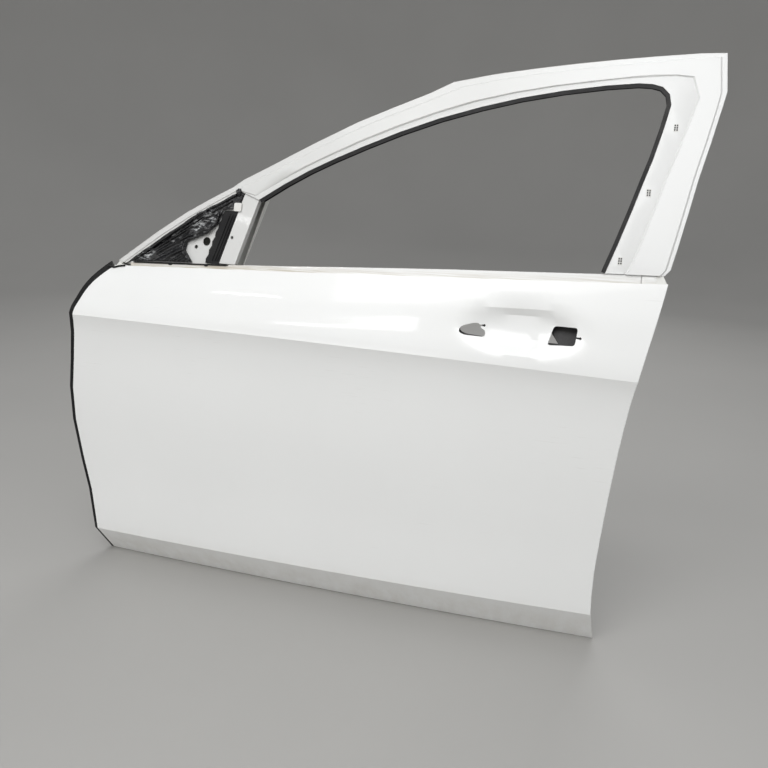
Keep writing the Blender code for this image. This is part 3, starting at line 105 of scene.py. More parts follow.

# Colours of dirt, wear, painted shade, painted highlights and plain materials
PAINT_DUST = (0.50, 0.47, 0.41)
PAINT_WORN = (0.38, 0.36, 0.33)
PAINT_SCUFFED = (0.62, 0.61, 0.59)
# Painted shade mixed into the frame's front
PAINTED_FRONT_SHADE = (0.42, 0.415, 0.395)
PAINT_CHIP = (0.10, 0.09, 0.08)
EDGE_RUST = (0.22, 0.13, 0.08)
STEEL_DUST = (0.42, 0.39, 0.34)
RUBBER_BLOOM = (0.020, 0.020, 0.0195)
RUBBER_DUST = (0.20, 0.19, 0.17)
PLASTIC_COLOURS = ((0.012, 0.012, 0.013), (0.024, 0.024, 0.025))
PLASTIC_DUST = (0.16, 0.15, 0.14)
MASTIC_COLOURS = ((0.10, 0.10, 0.105), (0.17, 0.17, 0.17))
SHEET_COLOURS = ((0.035, 0.034, 0.033), (0.065, 0.062, 0.058))
SHEET_DUST = (0.25, 0.23, 0.20)
FOAM_RUBBED = (0.10, 0.10, 0.105)
# Painted highlight: pale crinkled streaks on the black foam
FOAM_PAINTED_GLINT = (0.46, 0.47, 0.475)
FOAM_DUST = (0.16, 0.155, 0.15)
CLIP_COLOURS = ((0.74, 0.74, 0.72), (0.64, 0.63, 0.60))
CLIP_WORN = (0.45, 0.43, 0.40)
PIP_COLOURS = ((0.030, 0.030, 0.030), (0.070, 0.070, 0.068))

# Places on the door, as (x, z) seen from outside: each piece finds its own depth on what carries it
FOAM_BAR = ((0.083, 0.1752), (0.1395, 0.2154), (0.1964, 0.2535), (0.243, 0.2802), (0.286, 0.3045))
FOAM_INNER_BAR = ((0.172, 0.2290), (0.1994, 0.2480), (0.246, 0.2750), (0.278, 0.2935))
TEAR_LIP = ((0.256, 0.2700), (0.2515, 0.2530), (0.2415, 0.2415), (0.229, 0.2325), (0.2115, 0.2248),
            (0.194, 0.2178), (0.1896, 0.2080), (0.1898, 0.1980), (0.1965, 0.1890), (0.2060, 0.1815))
TOP_KNOT = (0.2915, 0.3085)
SILL_BAR = ((0.082, 0.1702), (0.150, 0.1729), (0.215, 0.1756), (0.286, 0.1784))
SILL_TABS = ((0.1640, 0.1718), (0.2400, 0.1748))
SEAL_END = ((0.024, 0.1590), (0.041, 0.1578), (0.051, 0.1600), (0.060, 0.1617), (0.066, 0.1622))
GASKET_RIBS = (((0.2625, 0.184), (0.2885, 0.270)), ((0.2575, 0.184), (0.2835, 0.270)),
               ((0.2515, 0.184), (0.2775, 0.270)))
POST_CLIPS = ((1.0377, 0.4428), (1.0072, 0.3406), (0.9754, 0.2334))
CORNER_GAP = ((1.0118, 0.1980), (1.0345, 0.2135))

# Foam: its facing, the way its film is pulled, the white clip that it stays clear of, and the places of its
# painted highlights
FOAM_FACING = Vector((-0.034874, -0.952722, 0.301836))
FOAM_PULL = Vector((0.857, 0.13, 0.50)).normalized()
FOAM_EDGE_LENGTH = 0.0026
FOAM_CUTS = 5
FOAM_TURNED_AWAY = 0.3
WHITE_CLIP = Vector((0.287, 0.0129, 0.290))
WHITE_CLIP_CLEARANCE = 0.010
WHITE_CLIP_FADE = 0.014
# Painted highlights on the foam: the centre and reach of each
PAINTED_GLINT_PLACES = (((0.1108, -0.0117, 0.1833), 0.024), ((0.2173, 0.0028, 0.2412), 0.022),
                 ((0.2390, 0.0060, 0.2620), 0.018))

# Crumples in the foam: how dense they are across and along the pull, how narrow, how high, and how far shifted
LONG_FOLDS = (95, 8, 2.4, 1.25, 0)
FINE_CREASES = (190, 24, 2.8, 0.4, 3)
LUMP_DENSITY = 90
LUMP_SHARE = 0.25
FOLD_SHARPNESS = 1.5
KNOT_HALF_SIZES = (0.0058, 0.0038, 0.0070)
KNOT_LIFT = 0.002
KNOT_LUMPS = 0.35
KNOT_LUMP_DENSITY = 1.6
INNER_BAR_SHARE = 0.75
# Share of each painted highlight's reach where it is full
GLINT_CORE_SHARE = 0.3

# Laid bars: how thin their ends are, and how fast their thickness wanders
BAR_END_SHARE = 0.45
BAR_WANDER = 260

# Rubber pieces in and beside the triangle
SILL_BAR_RADIUS = 0.0014
SILL_TAB_RADIUS = 0.0016
SILL_TAB_HALF_LENGTH = 0.004
SILL_TAB_RISE = 0.0003
RIB_RADIUS = 0.0009
SEAL_END_RADIUS = 0.0020

# Hem sealer: the hem's width, each run's start, step and count, and where the search for the skin's edge starts
HEM_WIDTH = 0.011
BOTTOM_RUN = (0.055, 0.0385, 24)
REAR_RUN = (-0.425, 0.0345, 17)
SKIN_MIDDLE_HEIGHT = -0.30
SKIN_REAR_START = 0.80
SKIN_OVERRUN = 0.01
EDGE_HALVINGS = 18

# Corner sealer: its sizes, and where the strip beside it is felt
CORNER_THICKNESS = 0.0022
CORNER_DEPTH = 0.0012
CORNER_UNEVEN = 0.0003
CORNER_UNEVEN_DENSITY = 300
CORNER_EDGE = 0.0005
CORNER_SHARP_TURN = 1.0
FEEL_AHEAD = 0.004
FEEL_UPPER = 0.003
FEEL_LOWER = 0.007

# Post clips: the plate, its pips, and how far beside the slot the post's face is felt
CLIP_PLATE = (0.0078, 0.0135, 0.0010)
CLIP_EDGE = 0.0004
PIP_SIZES = (0.0021, 0.0027, 0.0010)
PIP_COLUMNS = (-0.0017, 0.0017)
PIP_ROWS = (-0.0038, 0.0, 0.0038)
PIP_LIFT = 0.0004
SLOT_SIDE = 0.006

# Floor: flat out to its reach, then a quarter-round cove and a wall
FLOOR_REACH = 4.0
COVE_RADIUS = 1.8
COVE_STEPS = 6
WALL_HEIGHT = 3.1
FLOOR_SECTORS = 96
FLOOR_GAP = 0.0002
FLOOR_MERGE = 0.0001

# Lights: name, place, width, depth and share of the power, all turned to one spot
LIGHT_AIM = Vector((0.5, 0.0, 0.05))
LIGHTS = (("key", (0.40, -2.2, 2.5), 2.2, 2.2, 1.0),
          ("fill", (2.9, -2.2, 1.7), 1.8, 1.8, 0.26),
          ("low_front", (-1.35, -3.6, 0.22), 3.0, 0.9, 0.34),
          ("top", (0.5, 0.4, 3.6), 3.0, 3.0, 0.40),
          ("back", (0.4, 2.9, 2.3), 2.4, 2.4, 0.50),
          ("front_strip", (-1.16, -2.40, 1.67), 0.48, 0.03, 0.026),
          ("rear_strip", (-0.47, -2.79, 1.37), 0.95, 0.016, 0.028))
ROOM_COLOUR = (0.95, 0.97, 1.0, 1)
ROOM_STRENGTH = 0.42

# Camera of the photograph, in the part's frame
CAMERA_PLACE = (0.9696, -1.3334, 0.3667)
CAMERA_RIGHT = (0.9577, 0.2853, 0.0382)
CAMERA_UP = (-0.1116, 0.2459, 0.9628)
CAMERA_LENS = 36.87
CAMERA_SENSOR = 36.0
CAMERA_NEAR = 0.05


# Settings

def colour_setting(name, description, default):
    return FloatVectorProperty(name=name, description=description, size=3, subtype="COLOR", min=0, max=1,
                               default=default)


def length_setting(name, description, default, low, high):
    return FloatProperty(name=name, description=description, unit="LENGTH", default=default, min=low, max=high)


class DoorPaintSettings(bpy.types.PropertyGroup):
    skin_colour: colour_setting("Skin colour", "Gloss paint on the outer skin", (0.83, 0.835, 0.825))
    inner_colour: colour_setting("Inner colour", "Paint on the inner pressings", (0.74, 0.74, 0.71))
    primer_colour: colour_setting("Primer colour", "Grey primer on the steel inside", (0.36, 0.37, 0.36))
    dirt_colour: colour_setting("Dirt colour", "Cream dirt along the belt and edges", (0.36, 0.29, 0.18))
    peel_size: length_setting("Orange peel size", "Width of the ripples in the paint", 0.0022, 0.0005, 0.01)


class DoorSoftSettings(bpy.types.PropertyGroup):
    rubber_colour: colour_setting("Rubber colour", "Seals and plugs", (0.006, 0.006, 0.007))
    foam_colour: colour_setting("Foam colour", "Torn foam and film at the mirror", (0.005, 0.005, 0.006))
    foam_relief: length_setting("Foam relief", "Height of the crumples in the foam", 0.0042, 0, 0.008)
    lip_radius: length_setting("Lip radius", "Thickness of the rolled edge round the tear", 0.0026, 0.0005,
                               0.006)
    sealer_radius: length_setting("Sealer radius", "Half width of the sealer bead on the hem", 0.0016, 0.0005,
                                  0.004)


class DoorStageSettings(bpy.types.PropertyGroup):
    floor_colour: colour_setting("Floor colour", "Plain pale floor", (0.38, 0.373, 0.358))
    light_power: FloatProperty(name="Light power", description="Strength of the large soft lights",
                               unit="POWER", default=68.0, min=0, max=800)


# Shader helpers

def object_place(tree):
    return tree.nodes.new("ShaderNodeTexCoord").outputs["Object"]


def new_material(name):
    """A material, its node tree, its shader, and places on the object for its patterns."""
    made = bpy.data.materials.new(name)
    made.use_nodes = True
    tree = made.node_tree
    return made, tree, tree.nodes["Principled BSDF"], object_place(tree)


def feed(tree, socket, value):
    """Links a node's output to a socket, or sets the socket to a plain value."""
    if isinstance(value, bpy.types.NodeSocket):
        tree.links.new(value, socket)
    else:
        socket.default_value = value


def put(tree, kind, **values):
    """Adds a node and sets its own fields and its named inputs."""
    node = tree.nodes.new(kind)
    inputs = values.pop("inputs", {})
    for field, value in values.items():
        setattr(node, field, value)
    for socket, value in inputs.items():
        feed(tree, node.inputs[socket], value)
    return node


def combine(tree, operation, first, second, clamp=False):
    node = put(tree, "ShaderNodeMath", operation=operation, use_clamp=clamp, inputs={0: first, 1: second})
    return node.outputs[0]


def product(tree, first, *factors):
    for factor in factors:
        first = combine(tree, "MULTIPLY", first, factor)
    return first


def span(tree, value, low, high, start=0.0, end=1.0):
    """The value mapped from low-high to start-end and held there."""
    node = put(tree, "ShaderNodeMapRange", inputs={"Value": value, "From Min": low, "From Max": high,
                                                   "To Min": start, "To Max": end})
    return node.outputs["Result"]


def mix_colour(tree, share, below, above):
    """One colour over another, where the share says."""
    node = put(tree, "ShaderNodeMix", data_type="RGBA")
    feed(tree, node.inputs[0], share)
    for index, value in ((6, below), (7, above)):
        feed(tree, node.inputs[index], value if isinstance(value, bpy.types.NodeSocket) else (*value, 1))
    return node.outputs[2]


def stretched(tree, place, scale, rotation=(0.0, 0.0, 0.0)):
    """Places turned, then scaled by a different amount each way, so that a pattern runs in one direction."""
    node = put(tree, "ShaderNodeMapping", inputs={"Vector": place, "Rotation": rotation, "Scale": scale})
    return node.outputs["Vector"]


def distance_to(tree, place, centre):
    node = put(tree, "ShaderNodeVectorMath", operation="DISTANCE", inputs={0: place, 1: centre})
    return node.outputs["Value"]


def grain(tree, place, scale, detail=3.0, roughness=0.5):
    node = put(tree, "ShaderNodeTexNoise", inputs={"Vector": place, "Scale": scale, "Detail": detail,
                                                   "Roughness": roughness})
    return node.outputs["Fac"]


def patches(tree, place, scale, detail=3.0, roughness=0.5, between=(0.3, 0.7), to=(0.0, 1.0)):
    """Grain whose values between two limits are spread over a range."""
    return span(tree, grain(tree, place, scale, detail, roughness), *between, *to)


def bump(tree, shader, height, distance, strength=1.0):
    node = put(tree, "ShaderNodeBump", inputs={"Height": height, "Distance": distance, "Strength": strength})
    tree.links.new(node.outputs["Normal"], shader.inputs["Normal"])


# Effects that several finishes share

def start_group(name, inputs, outputs):
    """A node group with number inputs of the given defaults, number outputs, and places on the object."""
    group = bpy.data.node_groups.new(name, "ShaderNodeTree")
    for label, value in inputs.items():
        socket = group.interface.new_socket(name=label, in_out="INPUT", socket_type="NodeSocketFloat")
        socket.default_value = value
    for label in outputs:
        group.interface.new_socket(name=label, in_out="OUTPUT", socket_type="NodeSocketFloat")
    given = group.nodes.new("NodeGroupInput").outputs
    made = group.nodes.new("NodeGroupOutput").inputs
    return group, given, made, object_place(group)


def orange_peel_group():
    """Fine ripples of sprayed paint, with a slow swell under them."""
    group, given, made, place = start_group("Orange Peel", {"Size": 0.002}, ("Height",))
    fine = grain(group, place, combine(group, "DIVIDE", 1.0, given["Size"]), 2.0, 0.45)
    swell = grain(group, place, 14.0, 2.0)
    feed(group, made["Height"], combine(group, "ADD", fine, product(group, swell, 0.6)))
    return group


def edge_wear_group():
    """Marks the outward edges of a pressing, broken up by grain."""
    group, given, made, place = start_group("Edge Wear", {"Width": 0.0012, "Amount": 0.5}, ("Mask",))
    softened = put(group, "ShaderNodeBevel", samples=4, inputs={"Radius": given["Width"]})
    plain = group.nodes.new("ShaderNodeNewGeometry")
    turn = put(group, "ShaderNodeVectorMath", operation="DOT_PRODUCT",
               inputs={0: softened.outputs["Normal"], 1: plain.outputs["Normal"]})
    edge = span(group, turn.outputs["Value"], 0.995, 0.86)
    broken = patches(group, place, 160.0, 4.0, 0.65, (0.42, 0.60))
    feed(group, made["Mask"], product(group, edge, broken, given["Amount"]))
    return group


def settled_dust_group():
    """Dust that lies on upward faces, with soft patches."""
    group, given, made, place = start_group("Settled Dust", {"Amount": 0.3}, ("Mask",))
    plain = group.nodes.new("ShaderNodeNewGeometry")
    up = put(group, "ShaderNodeSeparateXYZ", inputs={"Vector": plain.outputs["Normal"]})
    facing = span(group, up.outputs["Z"], 0.05, 0.9)
    clouds = patches(group, place, 9.0, 4.0, 0.6, (0.30, 0.72))
    specks = patches(group, place, 420.0, 2.0, 0.6, (0.40, 0.70), (0.5, 1.0))
    lying = product(group, facing, clouds, specks)
    feed(group, made["Mask"], combine(group, "MULTIPLY", lying, given["Amount"], clamp=True))
    return group


def scuff_group():
    """Thin handling scratches in one main direction."""
    group, given, made, place = start_group("Scuffs", {"Amount": 0.3}, ("Mask",))
    turned = stretched(group, place, (18.0, 18.0, 900.0), (0.3, 0.9, 0.2))
    lines = patches(group, turned, 1.0, 3.0, 0.5, (0.66, 0.72))
    handled = patches(group, place, 6.0, 3.0, 0.6, (0.52, 0.66))
    feed(group, made["Mask"], product(group, lines, handled, given["Amount"]))
    return group


def rubber_skin_group():
    """Fine pores and a pale bloom on extruded rubber."""
    group, given, made, place = start_group("Rubber Skin", {"Scale": 900.0}, ("Height", "Bloom"))
    feed(group, made["Height"], grain(group, place, given["Scale"], 3.0, 0.6))
    feed(group, made["Bloom"], patches(group, place, 34.0, 5.0, 0.7, (0.45, 0.75)))
    return group


EFFECT_MAKERS = {"peel": orange_peel_group, "wear": edge_wear_group, "dust": settled_dust_group,
                 "scuffs": scuff_group, "rubber": rubber_skin_group}
EFFECTS = {}


def place_effect(tree, name, **values):
    """Puts a shared effect in a material with its own values, and makes the effect the first time."""
    if name not in EFFECTS:
        EFFECTS[name] = EFFECT_MAKERS[name]()
    node = tree.nodes.new("ShaderNodeGroup")
    node.node_tree = EFFECTS[name]
    for label, value in values.items():
        node.inputs[label.capitalize()].default_value = value
    return node.outputs


def worn(tree, shade, colour, width, amount):
    return mix_colour(tree, place_effect(tree, "wear", width=width, amount=amount)["Mask"], shade, colour)


def dusted(tree, shade, colour, amount):
    """The shade under dust, and the dust's mask."""
    mask = place_effect(tree, "dust", amount=amount)["Mask"]
    return mix_colour(tree, mask, shade, colour), mask


# Finishes

def gloss_paint(name, colour, settings, *, dust, wear, roughness, coat, low_dirt=0.0, belt_dirt=0.0,
                chipped=False, front_shade=0.0):
    """Sprayed gloss paint with orange peel, dust, worn edges, dirt where it gathers, and painted shade towards
    the front where asked.
    """
    made, tree, shader, place = new_material(name)
    dirt = tuple(settings.dirt_colour)
    parts = put(tree, "ShaderNodeSeparateXYZ", inputs={"Vector": place}).outputs
    shade = mix_colour(tree, patches(tree, place, 3.5, between=(0.35, 0.70)), colour,
                       [channel * 0.982 for channel in colour])
    if low_dirt:
        streaks = patches(tree, stretched(tree, place, (34.0, 34.0, 7.0)), 1.0, 5.0, 0.65, (0.34, 0.72))
        film = product(tree, span(tree, parts["Z"], *LOW_DIRT), streaks, low_dirt)
        shade = mix_colour(tree, film, shade, dirt)
    if belt_dirt:
        belt = combine(tree, "ADD", product(tree, parts["X"], BELT_RISE), BELT_FRONT)
        above = combine(tree, "SUBTRACT", parts["Z"], belt)
        line = span(tree, combine(tree, "ABSOLUTE", above, 0.0), *BELT_DIRT)
        smear = patches(tree, stretched(tree, place, (9.0, 60.0, 620.0)), 1.0, 5.0, 0.6, (0.38, 0.60))
        frontmost = span(tree, parts["X"], *BELT_DIRT_REAR, BELT_DIRT_REAR_SHARE, 1.0)
        shade = mix_colour(tree, product(tree, line, smear, frontmost, belt_dirt), shade, dirt)
    # Painted shade: the paint drawn greyer towards the front of the frame
    if front_shade:
        shade = mix_colour(tree, span(tree, parts["X"], *FRONT_SHADE_SPAN, 0.0, front_shade), shade, PAINTED_FRONT_SHADE)
    if chipped:
        chip = span(tree, distance_to(tree, place, CHIP_PLACE), *CHIP_RADII)
        shade = mix_colour(tree, chip, shade, PAINT_CHIP)
    shade, dust_mask = dusted(tree, shade, PAINT_DUST, dust)
    shade = worn(tree, shade, PAINT_WORN, 0.0011, wear)
    scuffs = place_effect(tree, "scuffs", amount=0.35)["Mask"]
    feed(tree, shader.inputs["Base Color"], mix_colour(tree, scuffs, shade, PAINT_SCUFFED))
    rough = patches(tree, place, 11.0, 4.0, 0.6, (0.3, 0.75), (roughness * 0.92, roughness * 1.10))
    rough = combine(tree, "ADD", rough, product(tree, dust_mask, 0.35))
    rough = combine(tree, "ADD", rough, product(tree, scuffs, 0.3), clamp=True)
    feed(tree, shader.inputs["Roughness"], rough)
    shader.inputs["IOR"].default_value = 1.5
    shader.inputs["Coat Weight"].default_value = coat
    shader.inputs["Coat Roughness"].default_value = 0.05
    bump(tree, shader, place_effect(tree, "peel", size=settings.peel_size)["Height"], PEEL_HEIGHT)
    return made


def primer_finish(settings):
    """Electro-dipped grey primer, thin and satin, with rust showing at cut edges."""
    made, tree, shader, place = new_material("primed_steel_finish")
    colour = tuple(settings.primer_colour)
    shade = mix_colour(tree, patches(tree, place, 22.0, 4.0), colour, [channel * 0.82 for channel in colour])
    shade = worn(tree, shade, EDGE_RUST, 0.0014, 0.8)
    feed(tree, shader.inputs["Base Color"], dusted(tree, shade, STEEL_DUST, 0.5)[0])
    feed(tree, shader.inputs["Roughness"], patches(tree, place, 60.0, to=(0.38, 0.56)))
    shader.inputs["Metallic"].default_value = 0.15
    bump(tree, shader, grain(tree, place, 700.0, 2.0), 0.00002)
    return made


def rubber_finish(settings):
    """Black seal rubber with pores, a faint bloom and dust."""
    made, tree, shader, _ = new_material("seal_rubber")
    surface = place_effect(tree, "rubber", scale=900.0)
    shade = mix_colour(tree, product(tree, surface["Bloom"], 0.5), tuple(settings.rubber_colour), RUBBER_BLOOM)
    feed(tree, shader.inputs["Base Color"], dusted(tree, shade, RUBBER_DUST, 0.35)[0])
    feed(tree, shader.inputs["Roughness"], span(tree, surface["Bloom"], 0.0, 1.0, 0.46, 0.68))
    shader.inputs["Specular IOR Level"].default_value = 0.2
    bump(tree, shader, surface["Height"], 0.00012, 0.5)
    return made


def moulded_plastic_finish():
    """Black moulded plastic with a fine pebbled face."""
    made, tree, shader, place = new_material("moulded_black_plastic")
    shade = mix_colour(tree, patches(tree, place, 40.0, 4.0, between=(0.4, 0.7)), *PLASTIC_COLOURS)
    feed(tree, shader.inputs["Base Color"], dusted(tree, shade, PLASTIC_DUST, 0.5)[0])
    feed(tree, shader.inputs["Roughness"], patches(tree, place, 90.0, to=(0.34, 0.50)))
    pebbles = put(tree, "ShaderNodeTexVoronoi", inputs={"Vector": place, "Scale": 1400.0})
    bump(tree, shader, pebbles.outputs["Distance"], 0.00006, 0.6)
    return made


def mastic_finish():
    """Soft grey mastic with a lumpy face."""
    made, tree, shader, place = new_material("soft_mastic")
    shade = mix_colour(tree, patches(tree, place, 90.0, 5.0, 0.65), *MASTIC_COLOURS)
    feed(tree, shader.inputs["Base Color"], shade)
    shader.inputs["Roughness"].default_value = 0.85
    bump(tree, shader, grain(tree, place, 260.0, 5.0, 0.6), 0.0006, 0.8)
    return made


def bitumen_finish():
    """Damping sheet with a rolled waffle of small cells."""
    made, tree, shader, place = new_material("bitumen_sheet")
    shade = mix_colour(tree, patches(tree, place, 30.0, 4.0), *SHEET_COLOURS)
    feed(tree, shader.inputs["Base Color"], dusted(tree, shade, SHEET_DUST, 0.3)[0])
    feed(tree, shader.inputs["Roughness"], patches(tree, place, 120.0, to=(0.62, 0.82)))
    bands = [put(tree, "ShaderNodeTexWave", wave_type="BANDS", bands_direction=direction,
                 inputs={"Vector": place, "Scale": 60.0, "Distortion": 0.3}).outputs["Fac"]
             for direction in ("X", "Z")]
    bump(tree, shader, product(tree, *bands), 0.0004, 0.7)
    return made


def foam_finish(settings):
    """Crumpled film over foam: black and glossy, rubbed grey on the folds, with painted highlights in pale
    crinkled streaks where it is torn most.
    """
    made, tree, shader, place = new_material("torn_foam_film")
    pulled = stretched(tree, place, (30.0, 160.0, 260.0), (0.0, 0.55, 0.0))
    rubbed = patches(tree, pulled, 1.0, 4.0, 0.6, (0.60, 0.76))
    shade = mix_colour(tree, product(tree, rubbed, 0.25), tuple(settings.foam_colour), FOAM_RUBBED)
    glint_streaks = stretched(tree, place, (60.0, 120.0, 170.0), (0.0, 0.55, 0.0))
    painted_glints = patches(tree, glint_streaks, 1.0, 5.0, 0.7, (0.53, 0.60))
    # Painted highlights: pale crinkled streaks mixed into the black near a few places, standing in for light on
    # the glossy film
    for centre, reach in PAINTED_GLINT_PLACES:
        near = span(tree, distance_to(tree, place, centre), reach, reach * GLINT_CORE_SHARE)
        shade = mix_colour(tree, product(tree, near, painted_glints), shade, FOAM_PAINTED_GLINT)
    feed(tree, shader.inputs["Base Color"], dusted(tree, shade, FOAM_DUST, 0.06)[0])
    feed(tree, shader.inputs["Roughness"], patches(tree, place, 75.0, 4.0, 0.65, (0.35, 0.68), (0.16, 0.34)))
    bump(tree, shader, grain(tree, pulled, 1.2, 2.0), 0.0005, 0.35)
    return made


def clip_finish():
    """White clip plastic, a little yellowed and rubbed at its edges."""
    made, tree, shader, place = new_material("clip_plastic")
    shade = mix_colour(tree, patches(tree, place, 70.0), *CLIP_COLOURS)
    feed(tree, shader.inputs["Base Color"], worn(tree, shade, CLIP_WORN, 0.0006, 0.5))
    feed(tree, shader.inputs["Roughness"], patches(tree, place, 200.0, to=(0.40, 0.55)))
    bump(tree, shader, grain(tree, place, 900.0, 2.0), 0.00004)
    return made


def grey_pip_finish():
    """The darker pips on the post's clips."""
    made, tree, shader, place = new_material("grey_pips")
    feed(tree, shader.inputs["Base Color"], mix_colour(tree, patches(tree, place, 300.0), *PIP_COLOURS))
    feed(tree, shader.inputs["Roughness"], patches(tree, place, 500.0, 2.0, to=(0.5, 0.7)))
    return made


# Pieces

def dress(nodes, finish, folds=PLAIN_FOLDS):
    """Gives some solids their finish, and smooth shading across their shallow folds."""
    for node in nodes:
        target = NODES[node]
        for slot in target.material_slots:
            slot.material = finish
        for face in target.data.polygons:
            face.use_smooth = True
        target.modifiers.new("weld", "WELD").merge_threshold = MERGE_DISTANCE
        target.modifiers.new("crisp folds", "EDGE_SPLIT").split_angle = math.radians(folds)


def new_object(name, data):
    made = bpy.data.objects.new(name, data)
    bpy.context.scene.collection.objects.link(made)
    return made


def mesh_object(name, bm, finish, smooth=True):
    """Turns a bmesh into an object with one finish."""
    mesh = bpy.data.meshes.new(name)
    bm.to_mesh(mesh)
    bm.free()
    for face in mesh.polygons:
        face.use_smooth = smooth
    mesh.materials.append(finish)
    return new_object(name, mesh)


def as_piece(name, bm, finish, replaced=(), smooth=True):
    """Turns a bmesh into a finished piece that rides on the door."""
    bmesh.ops.recalc_face_normals(bm, faces=bm.faces)
    piece = mesh_object(name, bm, finish, smooth)
    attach(piece, "root")
    if replaced:
        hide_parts(*replaced)
    return piece


def outer_faces(*nodes):
    """A search tree over some solids, to find where a piece lies on them."""
    bm = bmesh.new()
    for node in nodes:
        bm.from_mesh(NODES[node].data)
    tree = BVHTree.FromBMesh(bm)
    bm.free()
    return tree


def lie_on(tree, x, z, from_inside=False):
    """The surface met at x and z, seen from outside the car or from inside, with its facing."""
    side = 1 if from_inside else -1
    hit, normal, _, _ = tree.ray_cast(Vector((x, side, z)), Vector((0, -side, 0)))
    if hit is None:
        raise RuntimeError("no solid at x %.4f, z %.4f" % (x, z))
    if normal.y * side < 0:
        normal.negate()
    return hit, normal


def curve_through(points, steps):
    """A smooth path through listed points, each stretch cut into the given number of steps."""
    ends = [points[0], *points, points[-1]]
    path = []
    for p, q, r, s in zip(ends, ends[1:], ends[2:], ends[3:]):
        for step in range(steps):
            t = step / steps
            path.append(tuple(0.5 * (2 * b + (c - a) * t + (2 * a - 5 * b + 4 * c - d) * t * t
                                     + (3 * b - a - 3 * c + d) * t ** 3) for a, b, c, d in zip(p, q, r, s)))
    return path + [tuple(points[-1])]


def edges_among(verts):
    """The edges that have both ends among some vertices."""
    inside = set(verts)
    return [edge for edge in {edge for vert in verts for edge in vert.link_edges}
            if edge.verts[0] in inside and edge.verts[1] in inside]


def lay_bar(bm, tree, points, radius, flat=1.0, steps=4, sides=8, uneven=0.0, sink=0.3, from_inside=False):
    """A soft bar laid along a path on a surface: a ring at each step, bridged to the next, and closed ends."""
    path = [lie_on(tree, x, z, from_inside) for x, z in curve_through(points, steps)]
    loops = []
    for i, (place, facing) in enumerate(path):
        ahead = (path[min(i + 1, len(path) - 1)][0] - path[max(i - 1, 0)][0]).normalized()
        across = ahead.cross(facing).normalized()
        up = across.cross(ahead)
        thick = radius * (1 + uneven * noise.noise(place * BAR_WANDER))
        is_end = i in (0, len(path) - 1)
        if is_end:
            thick *= BAR_END_SHARE
        centre = place + facing * thick * flat * (1 - sink)
        turn = Matrix((across * thick, up * thick * flat, ahead)).transposed().to_4x4()
        ring = bmesh.ops.create_circle(bm, cap_ends=is_end, segments=sides, radius=1.0,
                                       matrix=Matrix.Translation(centre) @ turn)
        loops.append(edges_among(ring["verts"]))
    for near, far in zip(loops, loops[1:]):
        bmesh.ops.bridge_loops(bm, edges=near + far)


class DOOR_OT_paint_outside(bpy.types.Operator):
    """Paints the outer skin, the window frame, the post and the mirror plate in gloss white"""
    bl_idname = "door.paint_outside"
    bl_label = "Paint Outside"

    def execute(self, context):
        settings = context.scene.door_paint
        colour = tuple(settings.skin_colour)
        # Painted shade: the frame's white is the skin's drawn darker
        frame_colour = [channel * FRAME_SHADE for channel in colour]
        skin = gloss_paint("skin_gloss_paint", colour, settings, dust=0.10, wear=0.15, roughness=0.30,
                           coat=0.32, low_dirt=0.20, chipped=True)
        # Painted shade: the frame is drawn greyer still towards its front
        frame_finish = gloss_paint("frame_gloss_paint", frame_colour, settings, dust=0.08, wear=0.4,
                                   roughness=0.38, coat=0.15, belt_dirt=0.3, front_shade=0.38)
        strip = gloss_paint("belt_strip_paint", colour, settings, dust=0.25, wear=0.55, roughness=0.30,
                            coat=0.4, belt_dirt=0.9)
        dress(("outer_skin",), skin, SKIN_FOLDS)
        dress(PAINTED_FRAME, frame_finish)
        dress(("outer_waist_rail",), strip)
        return {"FINISHED"}


class DOOR_OT_paint_inside(bpy.types.Operator):
    """Paints the inner panel and its rail in flatter white"""
    bl_idname = "door.paint_inside"
    bl_label = "Paint Inside"

    def execute(self, context):
        settings = context.scene.door_paint
        dress(PAINTED_INSIDE, gloss_paint("inner_paint", tuple(settings.inner_colour), settings, dust=0.35,
                                          wear=0.5, roughness=0.34, coat=0.2, low_dirt=0.45))
        return {"FINISHED"}


class DOOR_OT_prime_steel(bpy.types.Operator):
    """Gives the beam, brackets, guides and reinforcements their grey primer"""
    bl_idname = "door.prime_steel"
    bl_label = "Prime Steel"

    def execute(self, context):
        dress(STEEL_PIECES, primer_finish(context.scene.door_paint))
        return {"FINISHED"}


class DOOR_OT_fit_rubbers(bpy.types.Operator):
    """Finishes the seals, the gasket and the plugs as black rubber"""
    bl_idname = "door.fit_rubbers"
    bl_label = "Fit Rubbers"

    def execute(self, context):
        dress(RUBBER_PIECES, rubber_finish(context.scene.door_soft), RUBBER_FOLDS)
        return {"FINISHED"}


class DOOR_OT_fit_plastics(bpy.types.Operator):
    """Finishes the handle carrier and the small white clip"""
    bl_idname = "door.fit_plastics"
    bl_label = "Fit Plastics"

    def execute(self, context):
        dress(("handle_carrier",), moulded_plastic_finish())
        dress(("mirror_clip",), clip_finish())
        return {"FINISHED"}


class DOOR_OT_lay_damping(bpy.types.Operator):
    """Finishes the mastic beads and the damping sheet"""
    bl_idname = "door.lay_damping"
    bl_label = "Lay Damping"

    def execute(self, context):
        dress(MASTIC_PIECES, mastic_finish(), MASTIC_FOLDS)
        dress(("damping_pad",), bitumen_finish())
        return {"FINISHED"}


